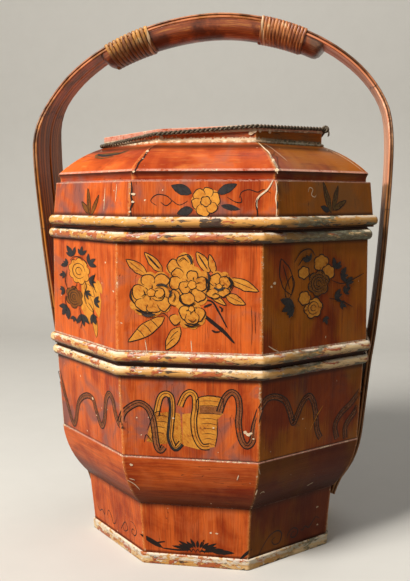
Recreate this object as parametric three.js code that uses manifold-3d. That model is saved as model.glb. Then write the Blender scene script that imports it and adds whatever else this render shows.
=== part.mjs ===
// A lacquered food basket: an eight-sided base on a foot, a lift-off tray and a domed lid,
// carried by a fixed handle of bent bamboo straps.
// Millimetres, +Z up. The origin is on the floor, under the middle of the foot.
// The handle's legs stand on the two sides that face plus and minus X.

import * as THREE from 'three';
import { mergeVertices } from 'three/addons/utils/BufferGeometryUtils.js';
import Module from 'manifold-3d';

// Fits between pieces
const GAP = 0.3;
const TRAY_PLAY = 1.6;
const LID_PLAY = 4.5;

// Widths across the flats from the floor up, and how far each tier stands out from the one below
const FOOT_BOTTOM_WIDTH = 230;
const FOOT_TOP_WIDTH = 240.6;
const COVE_OVERHANG = 1.2;
const COVE_TOP_WIDTH = 288;
const BODY_OVERHANG = -0.8;
const BODY_TOP_WIDTH = 295.6;
const TRAY_OVERHANG = 1.7;
const TRAY_TOP_WIDTH = 297.4;
const LID_OVERHANG = 1.3;
const LID_TOP_WIDTH = 292.4;
const SHOULDER_OVERHANG = -3.7;
const SHOULDER_FLARE = 2;
const COLLAR_WIDTH = 205;

// Heights of the tiers, from the floor up
const FOOT_HEIGHT = 59;
const COVE_HEIGHT = 50.5;
const BODY_HEIGHT = 82.5;
const TRAY_HEIGHT = 114;
const LID_WALL_HEIGHT = 40.5;
const SHOULDER_HEIGHT = 7;
const ROOF_HEIGHT = 26;
const COLLAR_RISE = 13.5;

// Board thicknesses
const FOOT_WALL = 9;
const COVE_WALL = 6;
const WALL = 5.5;
const SHOULDER_WALL = 7;
const ROOF_WALL = 7;
const COLLAR_WALL = 6;
const FLOOR_BOARD = 6;
const TRAY_FLOOR = 5;
const TOP_BOARD = 5;

// Curves of the moulded boards, as the height of their bulge over a straight line
const COVE_BULGE = 4.5;
const ROOF_BULGE = 3;
const SHOULDER_HOLLOW = 0.8;

// Split cane beads, the band at the foot and the strips that locate the tiers
const BEAD_HEIGHT = 9.2;
const BEAD_DEPTH = 4;
const BEAD_SETBACK = 1.6;
const INNER_BEND = 2.5;
const FOOT_BAND_HEIGHT = 10.3;
const FOOT_BAND_DEPTH = 1.8;
const LIP_RISE = 8;
const LIP_DROP = 14;
const LIP_WALL = 4;
const TRAY_FLOOR_ROOM = 4;
const TOP_BOARD_RECESS = 7;

// The collar's band and the twisted cord round it
const COLLAR_SINK = 7;
const BAND_HEIGHT = 5.5;
const BAND_DEPTH = 1.2;
const COLLAR_LEAN = 0.038;
const CORD_THICKNESS = 4;
const CORD_BELOW_TOP = 1.8;

// The handle's straps
const LEG_ROOM = 15.1;
const HANDLE_LEAN = 3.3;
const KNEE_ABOVE_EAVES = 40;
const ARCH_RISE = 114.2;
const ARCH_FULLNESS = 1.86;
const ARCH_SHIFT = 3.6;
const STRAP_THICKNESS = 2.2;
const STRAP_BEVEL = 0.7;
const STRAP_SEAT = 0.45;
const LEG_WIDTH = 73;
const ARCH_WIDTH = 42;
const FLARE_ABOVE_EAVES = 25.7;
const FLARE_HEIGHT = 58;
const SPLIT_NARROW = 0.6;
const SPLIT_WIDE = 5;
const SPLIT_BY_GRIP = 3;
const SPLIT_BY_GRIP_LENGTH = 58;
const LEG_TAIL = 13;
const SHIN_BOW = 3.1;

// The grip and its lashings of split cane
const GRIP_LENGTH = 231;
const GRIP_SHIFT = -3.5;
const GRIP_INSET = 0.5;
const GRIP_DEPTH = 16.5;
const GRIP_END_DEPTH = 14;
const GRIP_NOSE = 7;
const NOSE_ROUNDING = 0.55;
const LEFT_LASHING = { side: -1, fromNose: 0.5, turns: 11, cane: 3.2, spacing: 1 };
const RIGHT_LASHING = { side: 1, fromNose: 13, turns: 14, cane: 2.3, spacing: 0.9 };
const CANE_THICKNESS = 1.6;
const CANE_BEND = 1.1;

// Colours of the finishes
const LACQUER = { color: 0xb4451c, roughness: 0.42, metalness: 0 };
const DARK_LACQUER = { color: 0x7a2a14, roughness: 0.5, metalness: 0 };
const INNER_LACQUER = { color: 0x5a2114, roughness: 0.6, metalness: 0 };
const GESSO_CANE = { color: 0xc9a25c, roughness: 0.6, metalness: 0 };
const BAMBOO = { color: 0x6a3518, roughness: 0.5, metalness: 0 };
const LASHING_CANE = { color: 0xb27a35, roughness: 0.5, metalness: 0 };
const DARK_CORD = { color: 0x2b2019, roughness: 0.8, metalness: 0 };

// The octagon, side by side from plus X round by plus Y
const SIDE_NAMES = [
  'right', 'back_right', 'back', 'back_left',
  'left', 'front_left', 'front', 'front_right',
];
const SIDE_ANGLE = (2 * Math.PI) / SIDE_NAMES.length;
const HALF_SIDE = SIDE_ANGLE / 2;
const CORNER_RATIO = 1 / Math.cos(HALF_SIDE);

// Each tier's lower width follows the tier that carries it
const coveBottomWidth = FOOT_TOP_WIDTH + 2 * COVE_OVERHANG;
const bodyBottomWidth = COVE_TOP_WIDTH + 2 * BODY_OVERHANG;
const trayBottomWidth = BODY_TOP_WIDTH + 2 * TRAY_OVERHANG;
const lidBottomWidth = TRAY_TOP_WIDTH + 2 * LID_OVERHANG;
const shoulderBottomWidth = LID_TOP_WIDTH + 2 * SHOULDER_OVERHANG;
const eavesWidth = shoulderBottomWidth + 2 * SHOULDER_FLARE;

// Heights of the joints between tiers
const coveFoot = FOOT_HEIGHT + GAP;
const coveTop = coveFoot + COVE_HEIGHT;
const bodyFoot = coveTop + GAP;
const bodyTop = bodyFoot + BODY_HEIGHT;
const trayFoot = bodyTop + GAP;
const trayTop = trayFoot + TRAY_HEIGHT;
const lidFoot = trayTop + GAP;
const lidWallTop = lidFoot + LID_WALL_HEIGHT;
const shoulderFoot = lidWallTop + GAP;
const shoulderTop = shoulderFoot + SHOULDER_HEIGHT;
const roofFoot = shoulderTop + GAP;
const roofTop = roofFoot + ROOF_HEIGHT;
const collarTop = roofTop + COLLAR_RISE;

const { lerp, smoothstep, degToRad } = THREE.MathUtils;
const point = (distance, height) => new THREE.Vector2(distance, height);

// The outer face of a leaning wall, as its distance from the axis at a height
function face(bottomWidth, topWidth, foot, top) {
  return (height) => {
    const share = (height - foot) / (top - foot);
    return lerp(bottomWidth, topWidth, share) / 2;
  };
}

const footFace = face(FOOT_BOTTOM_WIDTH, FOOT_TOP_WIDTH, 0, FOOT_HEIGHT);
const bodyFace = face(bodyBottomWidth, BODY_TOP_WIDTH, bodyFoot, bodyTop);
const trayFace = face(trayBottomWidth, TRAY_TOP_WIDTH, trayFoot, trayTop);
const lidFace = face(lidBottomWidth, LID_TOP_WIDTH, lidFoot, lidWallTop);

// Points along a bowed line; a positive bulge lies on the left of the way from start to end
function bowed(start, end, bulge, steps) {
  const along = end.clone().sub(start).normalize();
  const side = point(-along.y, along.x);
  return Array.from({ length: steps + 1 }, (_, i) => {
    const share = i / steps;
    const height = bulge * 4 * share * (1 - share);
    return start.clone().lerp(end, share).addScaledVector(side, height);
  });
}

// A closed surface over points and triangles, with every face turned outward
function closedSurface(points, triangles) {
  const cross = new THREE.Vector3();
  const volume = triangles.reduce(
    (sum, [a, b, c]) => sum + points[a].dot(cross.crossVectors(points[b], points[c])),
    0,
  );
  const turned = triangles.map(([a, b, c]) => (volume > 0 ? [a, b, c] : [a, c, b]));
  const geometry = new THREE.BufferGeometry().setFromPoints(points);
  geometry.setIndex(turned.flat());
  geometry.computeVertexNormals();
  return geometry;
}

// A skin over rings of points; with no section the last ring meets the first, and with one
// the two ends are closed by it
function skin(rings, section = null) {
  const count = rings[0].length;
  const spans = section ? rings.length - 1 : rings.length;
  const triangles = [];
  for (let r = 0; r < spans; r += 1) {
    const here = r * count;
    const there = ((r + 1) % rings.length) * count;
    for (let i = 0; i < count; i += 1) {
      const j = (i + 1) % count;
      triangles.push([here + i, there + i, there + j], [here + i, there + j, here + j]);
    }
  }
  if (section) {
    const last = (rings.length - 1) * count;
    for (const [a, b, c] of THREE.ShapeUtils.triangulateShape(section, [])) {
      const forward = THREE.ShapeUtils.isClockWise([section[a], section[b], section[c]]);
      const [p, q] = forward ? [c, b] : [b, c];
      triangles.push([a, p, q], [last + a, last + q, last + p]);
    }
  }
  return closedSurface(rings.flat(), triangles);
}

// Sections are written anticlockwise, with the distance from the axis across and the height up
function anticlockwise(section) {
  return THREE.ShapeUtils.isClockWise(section) ? [...section].reverse() : section;
}

// One board of a side that faces plus X, mitred at both ends to meet its neighbours
function mitredBoard(outline) {
  const section = anticlockwise(outline);
  const rings = [1, -1].map((end) => section.map(({ x: distance, y: height }) => {
    const halfLength = distance * Math.tan(HALF_SIDE) - (GAP / 2) * CORNER_RATIO;
    return new THREE.Vector3(distance, end * halfLength, height);
  }));
  return skin(rings, section);
}

// A ring round all the sides, with sharp corners
function sharpRing(outline, placed = (corner) => corner) {
  const section = anticlockwise(outline);
  return skin(SIDE_NAMES.map((_, corner) => {
    const angle = (corner + 0.5) * SIDE_ANGLE;
    return section.map(({ x: distance, y: height }) => placed(new THREE.Vector3(
      distance * CORNER_RATIO * Math.cos(angle),
      distance * CORNER_RATIO * Math.sin(angle),
      height,
    )));
  }));
}

// A place on a path that follows the sides at a distance, round a seat whose corners are bent
function roundedCorner(corner, share, distance, seatDistance) {
  const middle = (corner + 0.5) * SIDE_ANGLE;
  const angle = middle + (share - 0.5) * SIDE_ANGLE;
  const centre = (seatDistance - INNER_BEND) * CORNER_RATIO;
  const radius = distance - seatDistance + INNER_BEND;
  return {
    x: centre * Math.cos(middle) + radius * Math.cos(angle),
    y: centre * Math.sin(middle) + radius * Math.sin(angle),
  };
}

// What a bent ring stands off its wall, so that its rounded corners clear the wall's sharp ones
const bentSeat = (GAP + (CORNER_RATIO - 1) * INNER_BEND) / CORNER_RATIO;

// A ring bent round a wall, whose corners follow the wall's lean at every height
function bentRing(outerFace, outline) {
  const steps = 3;
  const section = anticlockwise(outline);
  const rings = SIDE_NAMES.flatMap((_, corner) => Array.from({ length: steps + 1 }, (__, i) => (
    section.map(({ x: distance, y: height }) => {
      const { x, y } = roundedCorner(corner, i / steps, distance, outerFace(height) + bentSeat);
      return new THREE.Vector3(x, y, height);
    })
  )));
  return skin(rings);
}

// A flat board that fills the octagon at a distance from the axis
function octagonBoard(distance, foot, thickness) {
  const shape = new THREE.Shape(SIDE_NAMES.map((_, corner) => {
    const angle = (corner + 0.5) * SIDE_ANGLE;
    return point(Math.cos(angle), Math.sin(angle)).multiplyScalar(distance * CORNER_RATIO);
  }));
  const geometry = new THREE.ExtrudeGeometry(shape, { depth: thickness, bevelEnabled: false });
  return geometry.translate(0, 0, foot);
}

// A wall board's section, upright or leaning
function wallSection(outerFace, foot, top, thickness) {
  return [
    point(outerFace(foot), foot),
    point(outerFace(top), top),
    point(outerFace(top) - thickness, top),
    point(outerFace(foot) - thickness, foot),
  ];
}

// A split cane bead round a wall: flat against the wall, half round outside
function bead(outerFace, foot) {
  const middle = foot + BEAD_HEIGHT / 2;
  return bentRing(outerFace, Array.from({ length: 7 }, (_, i) => {
    const angle = (i / 6 - 0.5) * Math.PI;
    const height = middle + (BEAD_HEIGHT / 2) * Math.sin(angle);
    return point(outerFace(height) + bentSeat + BEAD_DEPTH * Math.cos(angle), height);
  }));
}

// A rebated strip inside a rim, whose upper half stands up to locate the tier above
function lipSection(outerFace, rim, standing) {
  const seat = (height) => outerFace(height) - WALL - GAP;
  const upright = Math.min(standing, seat(rim));
  const back = upright - LIP_WALL;
  return [
    point(seat(rim - LIP_DROP), rim - LIP_DROP),
    point(seat(rim), rim),
    point(upright, rim),
    point(upright, rim + LIP_RISE),
    point(back, rim + LIP_RISE),
    point(back, rim - LIP_DROP),
  ];
}

const trayLipDistance = Math.min(trayFace(trayFoot), trayFace(trayFoot + LIP_RISE)) - WALL - TRAY_PLAY;
const lidInside = lidFace(lidFoot + LIP_RISE) - WALL;
const lidLipDistance = Math.min(lidInside - LID_PLAY, trayFace(trayTop) - WALL - GAP);

// The loose lid sits turned as far as its play lets it
const lidTurn = HALF_SIDE - Math.acos(Math.min(1, (lidInside - GAP) / (lidLipDistance * CORNER_RATIO)));

// The cove's moulded outer face, from its bottom edge up to its top edge
const coveCurve = bowed(
  point(coveBottomWidth / 2, coveFoot),
  point(COVE_TOP_WIDTH / 2, coveTop),
  -COVE_BULGE,
  8,
);

function coveSection() {
  const inner = coveCurve.map(({ x, y }) => point(x - COVE_WALL, y));
  return [...coveCurve, ...inner.reverse()];
}

// The roof's outer face, from the eaves up to the collar
const eaves = point(eavesWidth / 2, roofFoot);
const roofRidge = point(COLLAR_WIDTH / 2 + GAP, roofTop);
const roofCurve = bowed(eaves, roofRidge, -ROOF_BULGE, 6);

function roofSection() {
  const slope = ROOF_HEIGHT / (eaves.x - roofRidge.x);
  const innerEaves = point(eaves.x - ROOF_WALL / slope, roofFoot);
  const innerRidge = point(roofRidge.x, roofTop - ROOF_WALL);
  return [...roofCurve, ...bowed(innerRidge, innerEaves, ROOF_BULGE / 2, 6)];
}

function shoulderSection() {
  const foot = point(shoulderBottomWidth / 2, shoulderFoot);
  const top = point(eavesWidth / 2, shoulderTop);
  const back = shoulderBottomWidth / 2 - SHOULDER_WALL;
  return [...bowed(foot, top, SHOULDER_HOLLOW, 4), point(back, shoulderTop), point(back, shoulderFoot)];
}

// The collar's board carries a proud band along its top edge
function collarSection() {
  const outer = COLLAR_WIDTH / 2;
  const band = outer + BAND_DEPTH;
  const bandFoot = collarTop - BAND_HEIGHT;
  return [
    point(outer, roofTop - COLLAR_SINK),
    point(outer, bandFoot - BAND_DEPTH / 2),
    point(band, bandFoot),
    point(band, collarTop - BAND_DEPTH / 2),
    point(band - BAND_DEPTH / 2, collarTop),
    point(outer - COLLAR_WALL, collarTop),
    point(outer - COLLAR_WALL, roofTop - COLLAR_SINK),
  ];
}

// The band leans with the foot's wall, and its upper edge is eased
function footBandSection() {
  const bevel = FOOT_BAND_DEPTH / 2;
  const off = (height, depth) => point(footFace(height) + bentSeat + depth, height);
  return [
    off(0, 0),
    off(0, FOOT_BAND_DEPTH),
    off(FOOT_BAND_HEIGHT - bevel, FOOT_BAND_DEPTH),
    off(FOOT_BAND_HEIGHT, FOOT_BAND_DEPTH - bevel),
    off(FOOT_BAND_HEIGHT, 0),
  ];
}

// The collar sits crooked, so that it rises to the right
const leaned = ({ x, y, z }) => new THREE.Vector3(x, y, z + COLLAR_LEAN * x);

// The cord runs round the collar's band. It has slipped down to the roof at one corner, and part
// of the way at the next
const CORD_SLIP = { left: 1, front_left: 0.3 };

function cordRing() {
  const seatDistance = COLLAR_WIDTH / 2 + BAND_DEPTH + bentSeat;
  const distance = seatDistance + CORD_THICKNESS / 2;
  const [ridge, below] = roofCurve.slice(-2).reverse();
  const slope = (ridge.y - below.y) / (below.x - ridge.x);
  const roofHeight = ridge.y - slope * (distance - ridge.x);
  const onRoof = roofHeight + (CORD_THICKNESS / 2 + GAP) * Math.hypot(1, slope);
  const cornerSteps = 4;
  const sides = 8;
  return skin(SIDE_NAMES.flatMap((_, corner) => {
    const slip = CORD_SLIP[SIDE_NAMES[corner]] ?? 0;
    const bandCorner = roundedCorner(corner, 0.5, distance, seatDistance);
    const onBand = leaned({ ...bandCorner, z: collarTop - CORD_BELOW_TOP }).z;
    const middle = lerp(onBand, onRoof, slip);
    return Array.from({ length: cornerSteps + 1 }, (__, step) => {
      const share = step / cornerSteps;
      const angle = (corner + share) * SIDE_ANGLE;
      const { x, y } = roundedCorner(corner, share, distance, seatDistance);
      return Array.from({ length: sides }, (___, i) => {
        const around = (i / sides) * 2 * Math.PI;
        const out = (CORD_THICKNESS / 2) * Math.cos(around);
        const up = (CORD_THICKNESS / 2) * Math.sin(around);
        return new THREE.Vector3(x + out * Math.cos(angle), y + out * Math.sin(angle), middle + up);
      });
    });
  }));
}

// The handle's two layers of strap meet on one line, which starts at the foot of the left leg,
// goes over the cove and the beads at the rim, and rises to the arch
const packHalf = STRAP_THICKNESS + GAP / 2;
const lidRim = lidFace(lidFoot) + bentSeat + BEAD_DEPTH;
const kneeHeight = roofFoot + KNEE_ABOVE_EAVES;
const archHeight = kneeHeight + ARCH_RISE - packHalf;

function legPoints(side) {
  const seat = packHalf + STRAP_SEAT;
  const reach = lidRim + LEG_ROOM - side * HANDLE_LEAN + packHalf;
  const tail = FOOT_HEIGHT - LEG_TAIL;
  const overCove = [1, 3, 5, 7, 8].map((i) => {
    const along = coveCurve[i].clone().sub(coveCurve[i - 1]).normalize();
    return coveCurve[i].clone().addScaledVector(point(along.y, -along.x), seat);
  });
  const rim = bodyTop - BEAD_SETBACK - BEAD_HEIGHT / 2;
  const overRim = point(bodyFace(rim) + bentSeat + BEAD_DEPTH + seat, rim);
  const trayRim = trayFoot + BEAD_SETBACK + BEAD_HEIGHT / 2;
  const overTray = point(trayFace(trayRim) + bentSeat + BEAD_DEPTH + seat, trayRim);
  const knee = point(reach, kneeHeight);
  const shin = overTray.clone().lerp(knee, 0.5).add(point(SHIN_BOW, 0));
  const arch = [0, 15, 30, 45, 60, 75].map((degrees) => {
    const angle = degToRad(degrees);
    const power = 2 / ARCH_FULLNESS;
    const rise = Math.sin(angle) ** power;
    const out = reach * Math.cos(angle) ** power + side * ARCH_SHIFT * rise;
    return point(out, lerp(kneeHeight, archHeight, rise));
  });
  return [point(footFace(tail) + seat, tail), ...overCove, overRim, overTray, shin, ...arch]
    .map(({ x, y }) => new THREE.Vector3(side * x, 0, y));
}

const leftLeg = legPoints(-1);
const archTop = new THREE.Vector3(ARCH_SHIFT, 0, archHeight);
const handlePoints = [...leftLeg, archTop, ...legPoints(1).reverse()];
const handleLine = new THREE.CatmullRomCurve3(handlePoints, false, 'centripetal');
const SPAN_STEPS = 40;
handleLine.arcLengthDivisions = SPAN_STEPS * (handlePoints.length - 1);
const handleLength = handleLine.getLength();
const lengthToTop = handleLine.getLengths()[SPAN_STEPS * leftLeg.length];
const lengthToGrip = lengthToTop - ARCH_SHIFT + GRIP_SHIFT;

// The place on the handle's line at a length from the grip's middle, positive to the right
function onHandle(length) {
  const share = THREE.MathUtils.clamp((length + lengthToGrip) / handleLength, 0, 1);
  const middle = handleLine.getPointAt(share);
  const along = handleLine.getTangentAt(share);
  const outward = new THREE.Vector3(-along.z, 0, along.x);
  const at = (across, out) => middle.clone().addScaledVector(outward, out).setY(across);
  return { middle, along, outward, at };
}

// The straps are narrow over the arch and flare to the legs. The inner layer is split along its
// middle, wide in the legs and just past the grip's right end
const flareFoot = roofFoot + FLARE_ABOVE_EAVES;
const strapFlare = (height) => smoothstep(height, flareFoot, flareFoot + FLARE_HEIGHT);
const strapWidth = (height) => lerp(LEG_WIDTH, ARCH_WIDTH, strapFlare(height));

function splitWidth(height, length) {
  const pastGrip = THREE.MathUtils.clamp((length - GRIP_LENGTH / 2) / SPLIT_BY_GRIP_LENGTH, 0, 1);
  const opened = SPLIT_BY_GRIP * Math.sin(Math.PI * pastGrip);
  return opened + lerp(SPLIT_WIDE, SPLIT_NARROW, strapFlare(height + FLARE_HEIGHT / 2));
}

const STRAP_STEPS = 120;

function strap(sectionAt) {
  const rings = Array.from({ length: STRAP_STEPS + 1 }, (_, i) => {
    const length = (i / STRAP_STEPS) * handleLength - lengthToGrip;
    const place = onHandle(length);
    return { place, section: sectionAt(place.middle.z, length) };
  });
  const skinRings = rings.map(({ place, section }) => section.map(({ x, y }) => place.at(x, y)));
  return skin(skinRings, rings[0].section);
}

// A strap's section across and outward, with its two outer long edges eased
function easedStrip(from, to, seat, outside) {
  const ease = STRAP_BEVEL * Math.sign(outside - seat);
  return anticlockwise([
    point(from, seat),
    point(to, seat),
    point(to, outside - ease),
    point(to - STRAP_BEVEL, outside),
    point(from + STRAP_BEVEL, outside),
    point(from, outside - ease),
  ]);
}

function outerStrap(height) {
  const half = strapWidth(height) / 2;
  return easedStrip(-half, half, GAP / 2, packHalf);
}

// The inner layer's back strip has side 1, its front strip side -1
function innerStrap(side) {
  return (height, length) => {
    const edges = [splitWidth(height, length) / 2, strapWidth(height) / 2].map((across) => side * across);
    return easedStrip(Math.min(...edges), Math.max(...edges), -GAP / 2, -packHalf);
  };
}

// The grip lies under the straps: flat on top, half round below, and drawn in at its noses
const gripTop = -packHalf - GAP;
const noseStart = GRIP_LENGTH / 2 - GRIP_NOSE;

function gripDepth(length) {
  const share = Math.min(1, Math.abs(length) / noseStart);
  return lerp(GRIP_DEPTH, GRIP_END_DEPTH, share ** 2);
}

function gripSection(length) {
  const steps = 10;
  const intoNose = Math.max(0, Math.abs(length) - noseStart) / GRIP_NOSE;
  const drawnIn = 1 - NOSE_ROUNDING * (1 - Math.sqrt(1 - intoNose ** 2));
  const halfWidth = ARCH_WIDTH / 2 - GRIP_INSET - GRIP_NOSE * (1 - drawnIn);
  const depth = gripDepth(length) * drawnIn;
  return anticlockwise(Array.from({ length: steps + 1 }, (_, i) => {
    const angle = -(i / steps) * Math.PI;
    return point(halfWidth * Math.cos(angle), gripTop + depth * Math.sin(angle));
  }));
}

function gripBlank() {
  const steps = 22;
  const middle = Array.from({ length: steps + 1 }, (_, i) => ((2 * i) / steps - 1) * noseStart);
  const right = [0.5, 0.85, 1].map((share) => noseStart + share * GRIP_NOSE);
  const left = right.map((length) => -length).reverse();
  const rings = [...left, ...middle, ...right].map((length) => {
    const { at } = onHandle(length);
    return gripSection(length).map(({ x, y }) => at(x, y));
  });
  return skin(rings, gripSection(0));
}

// A lashing is one long cane wound round straps and grip; both of its ends turn up into a slot
// under the grip
const caneSeat = GAP + CANE_THICKNESS / 2;
const caneTurn = CANE_BEND + CANE_THICKNESS / 2;
const LOOP_STEPS = 24;

function lashingEnds({ side, fromNose, turns, cane, spacing }) {
  const outerEnd = side * (noseStart - fromNose);
  const innerEnd = outerEnd - side * turns * (cane + spacing);
  return { first: Math.min(outerEnd, innerEnd), last: Math.max(outerEnd, innerEnd) };
}

// One loop in the plane across the handle, from the bottom round the back and over the top
function loopOutline(length) {
  const half = ARCH_WIDTH / 2 + caneSeat;
  const depth = gripDepth(length) + caneSeat;
  const top = packHalf + caneSeat;
  const corner = (side, degrees) => point(
    side * (half - caneTurn + caneTurn * Math.cos(degToRad(degrees))),
    top - caneTurn + caneTurn * Math.sin(degToRad(degrees)),
  );
  const below = (side, i) => point(
    side * half * Math.sin((i * Math.PI) / 12),
    gripTop - depth * Math.cos((i * Math.PI) / 12),
  );
  const across = [0.5, 0, -0.5].map((share) => point((half - caneTurn) * share, top));
  return [
    ...[0, 1, 2, 3, 4, 5, 6].map((i) => below(1, i)),
    ...[0, 30, 60, 90].map((degrees) => corner(1, degrees)),
    ...across,
    ...[90, 60, 30, 0].map((degrees) => corner(-1, degrees)),
    ...[6, 5, 4, 3, 2, 1].map((i) => below(-1, i)),
  ];
}

// An end of the cane: a straight stretch down out of its slot, and a quarter turn onto the loop
function caneEar(length, cane, side) {
  const bottom = gripTop - gripDepth(length) - caneSeat;
  const centre = point(side * caneTurn, bottom + caneTurn);
  const turned = [0, 30, 60, 90].map((degrees) => {
    const angle = degToRad(degrees);
    const out = point(-side * Math.cos(angle), -Math.sin(angle));
    return { length, out, place: centre.clone().addScaledVector(out, caneTurn) };
  });
  const end = { ...turned[0], place: turned[0].place.clone().add(point(0, cane)) };
  return [end, ...turned];
}

function lashing(name, winding) {
  const { turns, cane, spacing } = winding;
  const { first, last } = lashingEnds(winding);
  const loops = Array.from({ length: turns * LOOP_STEPS - 1 }, (_, i) => {
    const step = i + 1;
    const length = first + (step / LOOP_STEPS) * (cane + spacing);
    const outline = loopOutline(length);
    const here = step % LOOP_STEPS;
    const before = outline[(here + LOOP_STEPS - 1) % LOOP_STEPS];
    const after = outline[(here + 1) % LOOP_STEPS];
    const along = after.clone().sub(before).normalize();
    return { length, out: point(along.y, -along.x), place: outline[here] };
  });
  const stations = [...caneEar(first, cane, 1), ...loops, ...caneEar(last, cane, -1).reverse()];
  const placed = stations.map(({ length, out, place }) => {
    const { at, outward } = onHandle(length);
    const outDirection = outward.clone().multiplyScalar(out.y).setY(out.x);
    return { middle: at(place.x, place.y), outDirection };
  });
  const section = [[0.5, 0], [0.25, 0.5], [-0.25, 0.5], [-0.5, 0], [-0.25, -0.5], [0.25, -0.5]];
  const rings = placed.map(({ middle, outDirection }, i) => {
    const before = placed[Math.max(0, i - 1)].middle;
    const after = placed[Math.min(placed.length - 1, i + 1)].middle;
    const aside = after.clone().sub(before).cross(outDirection).normalize();
    return section.map(([wide, thick]) => middle.clone()
      .addScaledVector(aside, wide * cane)
      .addScaledVector(outDirection, thick * CANE_THICKNESS));
  });
  console.log(`${name}: least gap to itself ${leastGap(rings).toFixed(2)} mm`);
  return skin(rings, section.map(([x, y]) => point(x, y)));
}

// The least distance between points of a winding that lie about one loop apart
function leastGap(rings) {
  let least = Infinity;
  rings.forEach((ring, i) => {
    const others = rings.slice(i + LOOP_STEPS - 3, i + LOOP_STEPS + 4).flat();
    ring.forEach((here) => others.forEach((there) => {
      least = Math.min(least, here.distanceTo(there));
    }));
  });
  return least;
}

// Boolean cuts
const wasm = await Module();
wasm.setup();

function toManifold(geometry) {
  const bare = geometry.clone();
  bare.deleteAttribute('normal');
  bare.deleteAttribute('uv');
  const merged = mergeVertices(bare, 1e-4);
  return new wasm.Manifold(new wasm.Mesh({
    numProp: 3,
    vertProperties: merged.attributes.position.array,
    triVerts: Uint32Array.from(merged.index.array),
  }));
}

function fromManifold(solid) {
  const { vertProperties, triVerts } = solid.getMesh();
  const geometry = new THREE.BufferGeometry();
  geometry.setAttribute('position', new THREE.Float32BufferAttribute(vertProperties, 3));
  geometry.setIndex(Array.from(triVerts));
  geometry.computeVertexNormals();
  return geometry;
}

// A slot for a cane's end: open at the grip's underside, as deep as the end is long
function caneSlot(length, cane, side) {
  const bottom = gripTop - gripDepth(length) - caneSeat;
  const roof = bottom + caneTurn + cane + GAP;
  const shortSide = CANE_THICKNESS / 2 + GAP;
  const longSide = caneTurn;
  const { at, along } = onHandle(length);
  const middle = at((side * (longSide - shortSide)) / 2, (roof + bottom) / 2);
  const slot = new THREE.BoxGeometry(cane + 2 * GAP, shortSide + longSide, roof - bottom);
  slot.rotateY(-Math.atan2(along.z, along.x));
  return slot.translate(middle.x, middle.y, middle.z);
}

function grip() {
  const slots = [LEFT_LASHING, RIGHT_LASHING].flatMap((winding) => {
    const { first, last } = lashingEnds(winding);
    return [caneSlot(first, winding.cane, 1), caneSlot(last, winding.cane, -1)];
  });
  return fromManifold(slots.reduce(
    (solid, slot) => solid.subtract(toManifold(slot)),
    toManifold(gripBlank()),
  ));
}

// The assembly
function piece(name, geometry, finish) {
  const mesh = new THREE.Mesh(geometry, new THREE.MeshStandardMaterial(finish));
  mesh.name = name;
  return mesh;
}

// A board on each side, all cut from one section
function boards(name, section, finish) {
  return SIDE_NAMES.map((side, i) => {
    const board = piece(`${name}_${side}`, mitredBoard(section), finish);
    board.rotation.z = i * SIDE_ANGLE;
    return board;
  });
}

const rimBeadFoot = bodyTop - BEAD_SETBACK - BEAD_HEIGHT;
const baseFloorDistance = coveBottomWidth / 2 - COVE_WALL - GAP;
const base = new THREE.Group();
base.add(
  ...boards('foot_board', wallSection(footFace, 0, FOOT_HEIGHT, FOOT_WALL), LACQUER),
  piece('foot_band', bentRing(footFace, footBandSection()), GESSO_CANE),
  piece('base_floor', octagonBoard(baseFloorDistance, coveFoot, FLOOR_BOARD), INNER_LACQUER),
  ...boards('cove_board', coveSection(), LACQUER),
  ...boards('body_board', wallSection(bodyFace, bodyFoot, bodyTop, WALL), LACQUER),
  piece('base_rim_bead', bead(bodyFace, rimBeadFoot), GESSO_CANE),
  piece('base_lip', sharpRing(lipSection(bodyFace, bodyTop, trayLipDistance)), INNER_LACQUER),
);

const trayBeadFoots = { bottom: trayFoot + BEAD_SETBACK, top: trayTop - BEAD_SETBACK - BEAD_HEIGHT };
const trayFloorFoot = trayFoot + LIP_RISE + TRAY_FLOOR_ROOM;
const trayFloorDistance = trayFace(trayFloorFoot + TRAY_FLOOR) - WALL - GAP;
const tray = new THREE.Group();
tray.add(
  ...boards('tray_board', wallSection(trayFace, trayFoot, trayTop, WALL), LACQUER),
  piece('tray_floor', octagonBoard(trayFloorDistance, trayFloorFoot, TRAY_FLOOR), INNER_LACQUER),
  piece('tray_bottom_bead', bead(trayFace, trayBeadFoots.bottom), GESSO_CANE),
  piece('tray_top_bead', bead(trayFace, trayBeadFoots.top), GESSO_CANE),
  piece('tray_lip', sharpRing(lipSection(trayFace, trayTop, lidLipDistance)), INNER_LACQUER),
);

const topBoardFoot = collarTop - TOP_BOARD_RECESS - TOP_BOARD;
const topBoardDistance = COLLAR_WIDTH / 2 - COLLAR_WALL - GAP;
const lid = new THREE.Group();
lid.rotation.z = lidTurn;
lid.add(
  piece('lid_bead', bead(lidFace, lidFoot + BEAD_SETBACK), GESSO_CANE),
  piece('lid_wall', sharpRing(wallSection(lidFace, lidFoot, lidWallTop, WALL)), LACQUER),
  piece('lid_shoulder', sharpRing(shoulderSection()), DARK_LACQUER),
  ...boards('roof_board', roofSection(), LACQUER),
  piece('lid_collar', sharpRing(collarSection(), leaned), LACQUER),
  piece('lid_top_board', octagonBoard(topBoardDistance, topBoardFoot, TOP_BOARD), LACQUER),
  piece('collar_cord', cordRing(), DARK_CORD),
);

const handle = new THREE.Group();
handle.add(
  piece('handle_outer_strap', strap(outerStrap), BAMBOO),
  piece('handle_inner_strap_front', strap(innerStrap(-1)), BAMBOO),
  piece('handle_inner_strap_back', strap(innerStrap(1)), BAMBOO),
  piece('handle_grip', grip(), DARK_LACQUER),
  piece('left_lashing', lashing('left_lashing', LEFT_LASHING), LASHING_CANE),
  piece('right_lashing', lashing('right_lashing', RIGHT_LASHING), LASHING_CANE),
);

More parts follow.
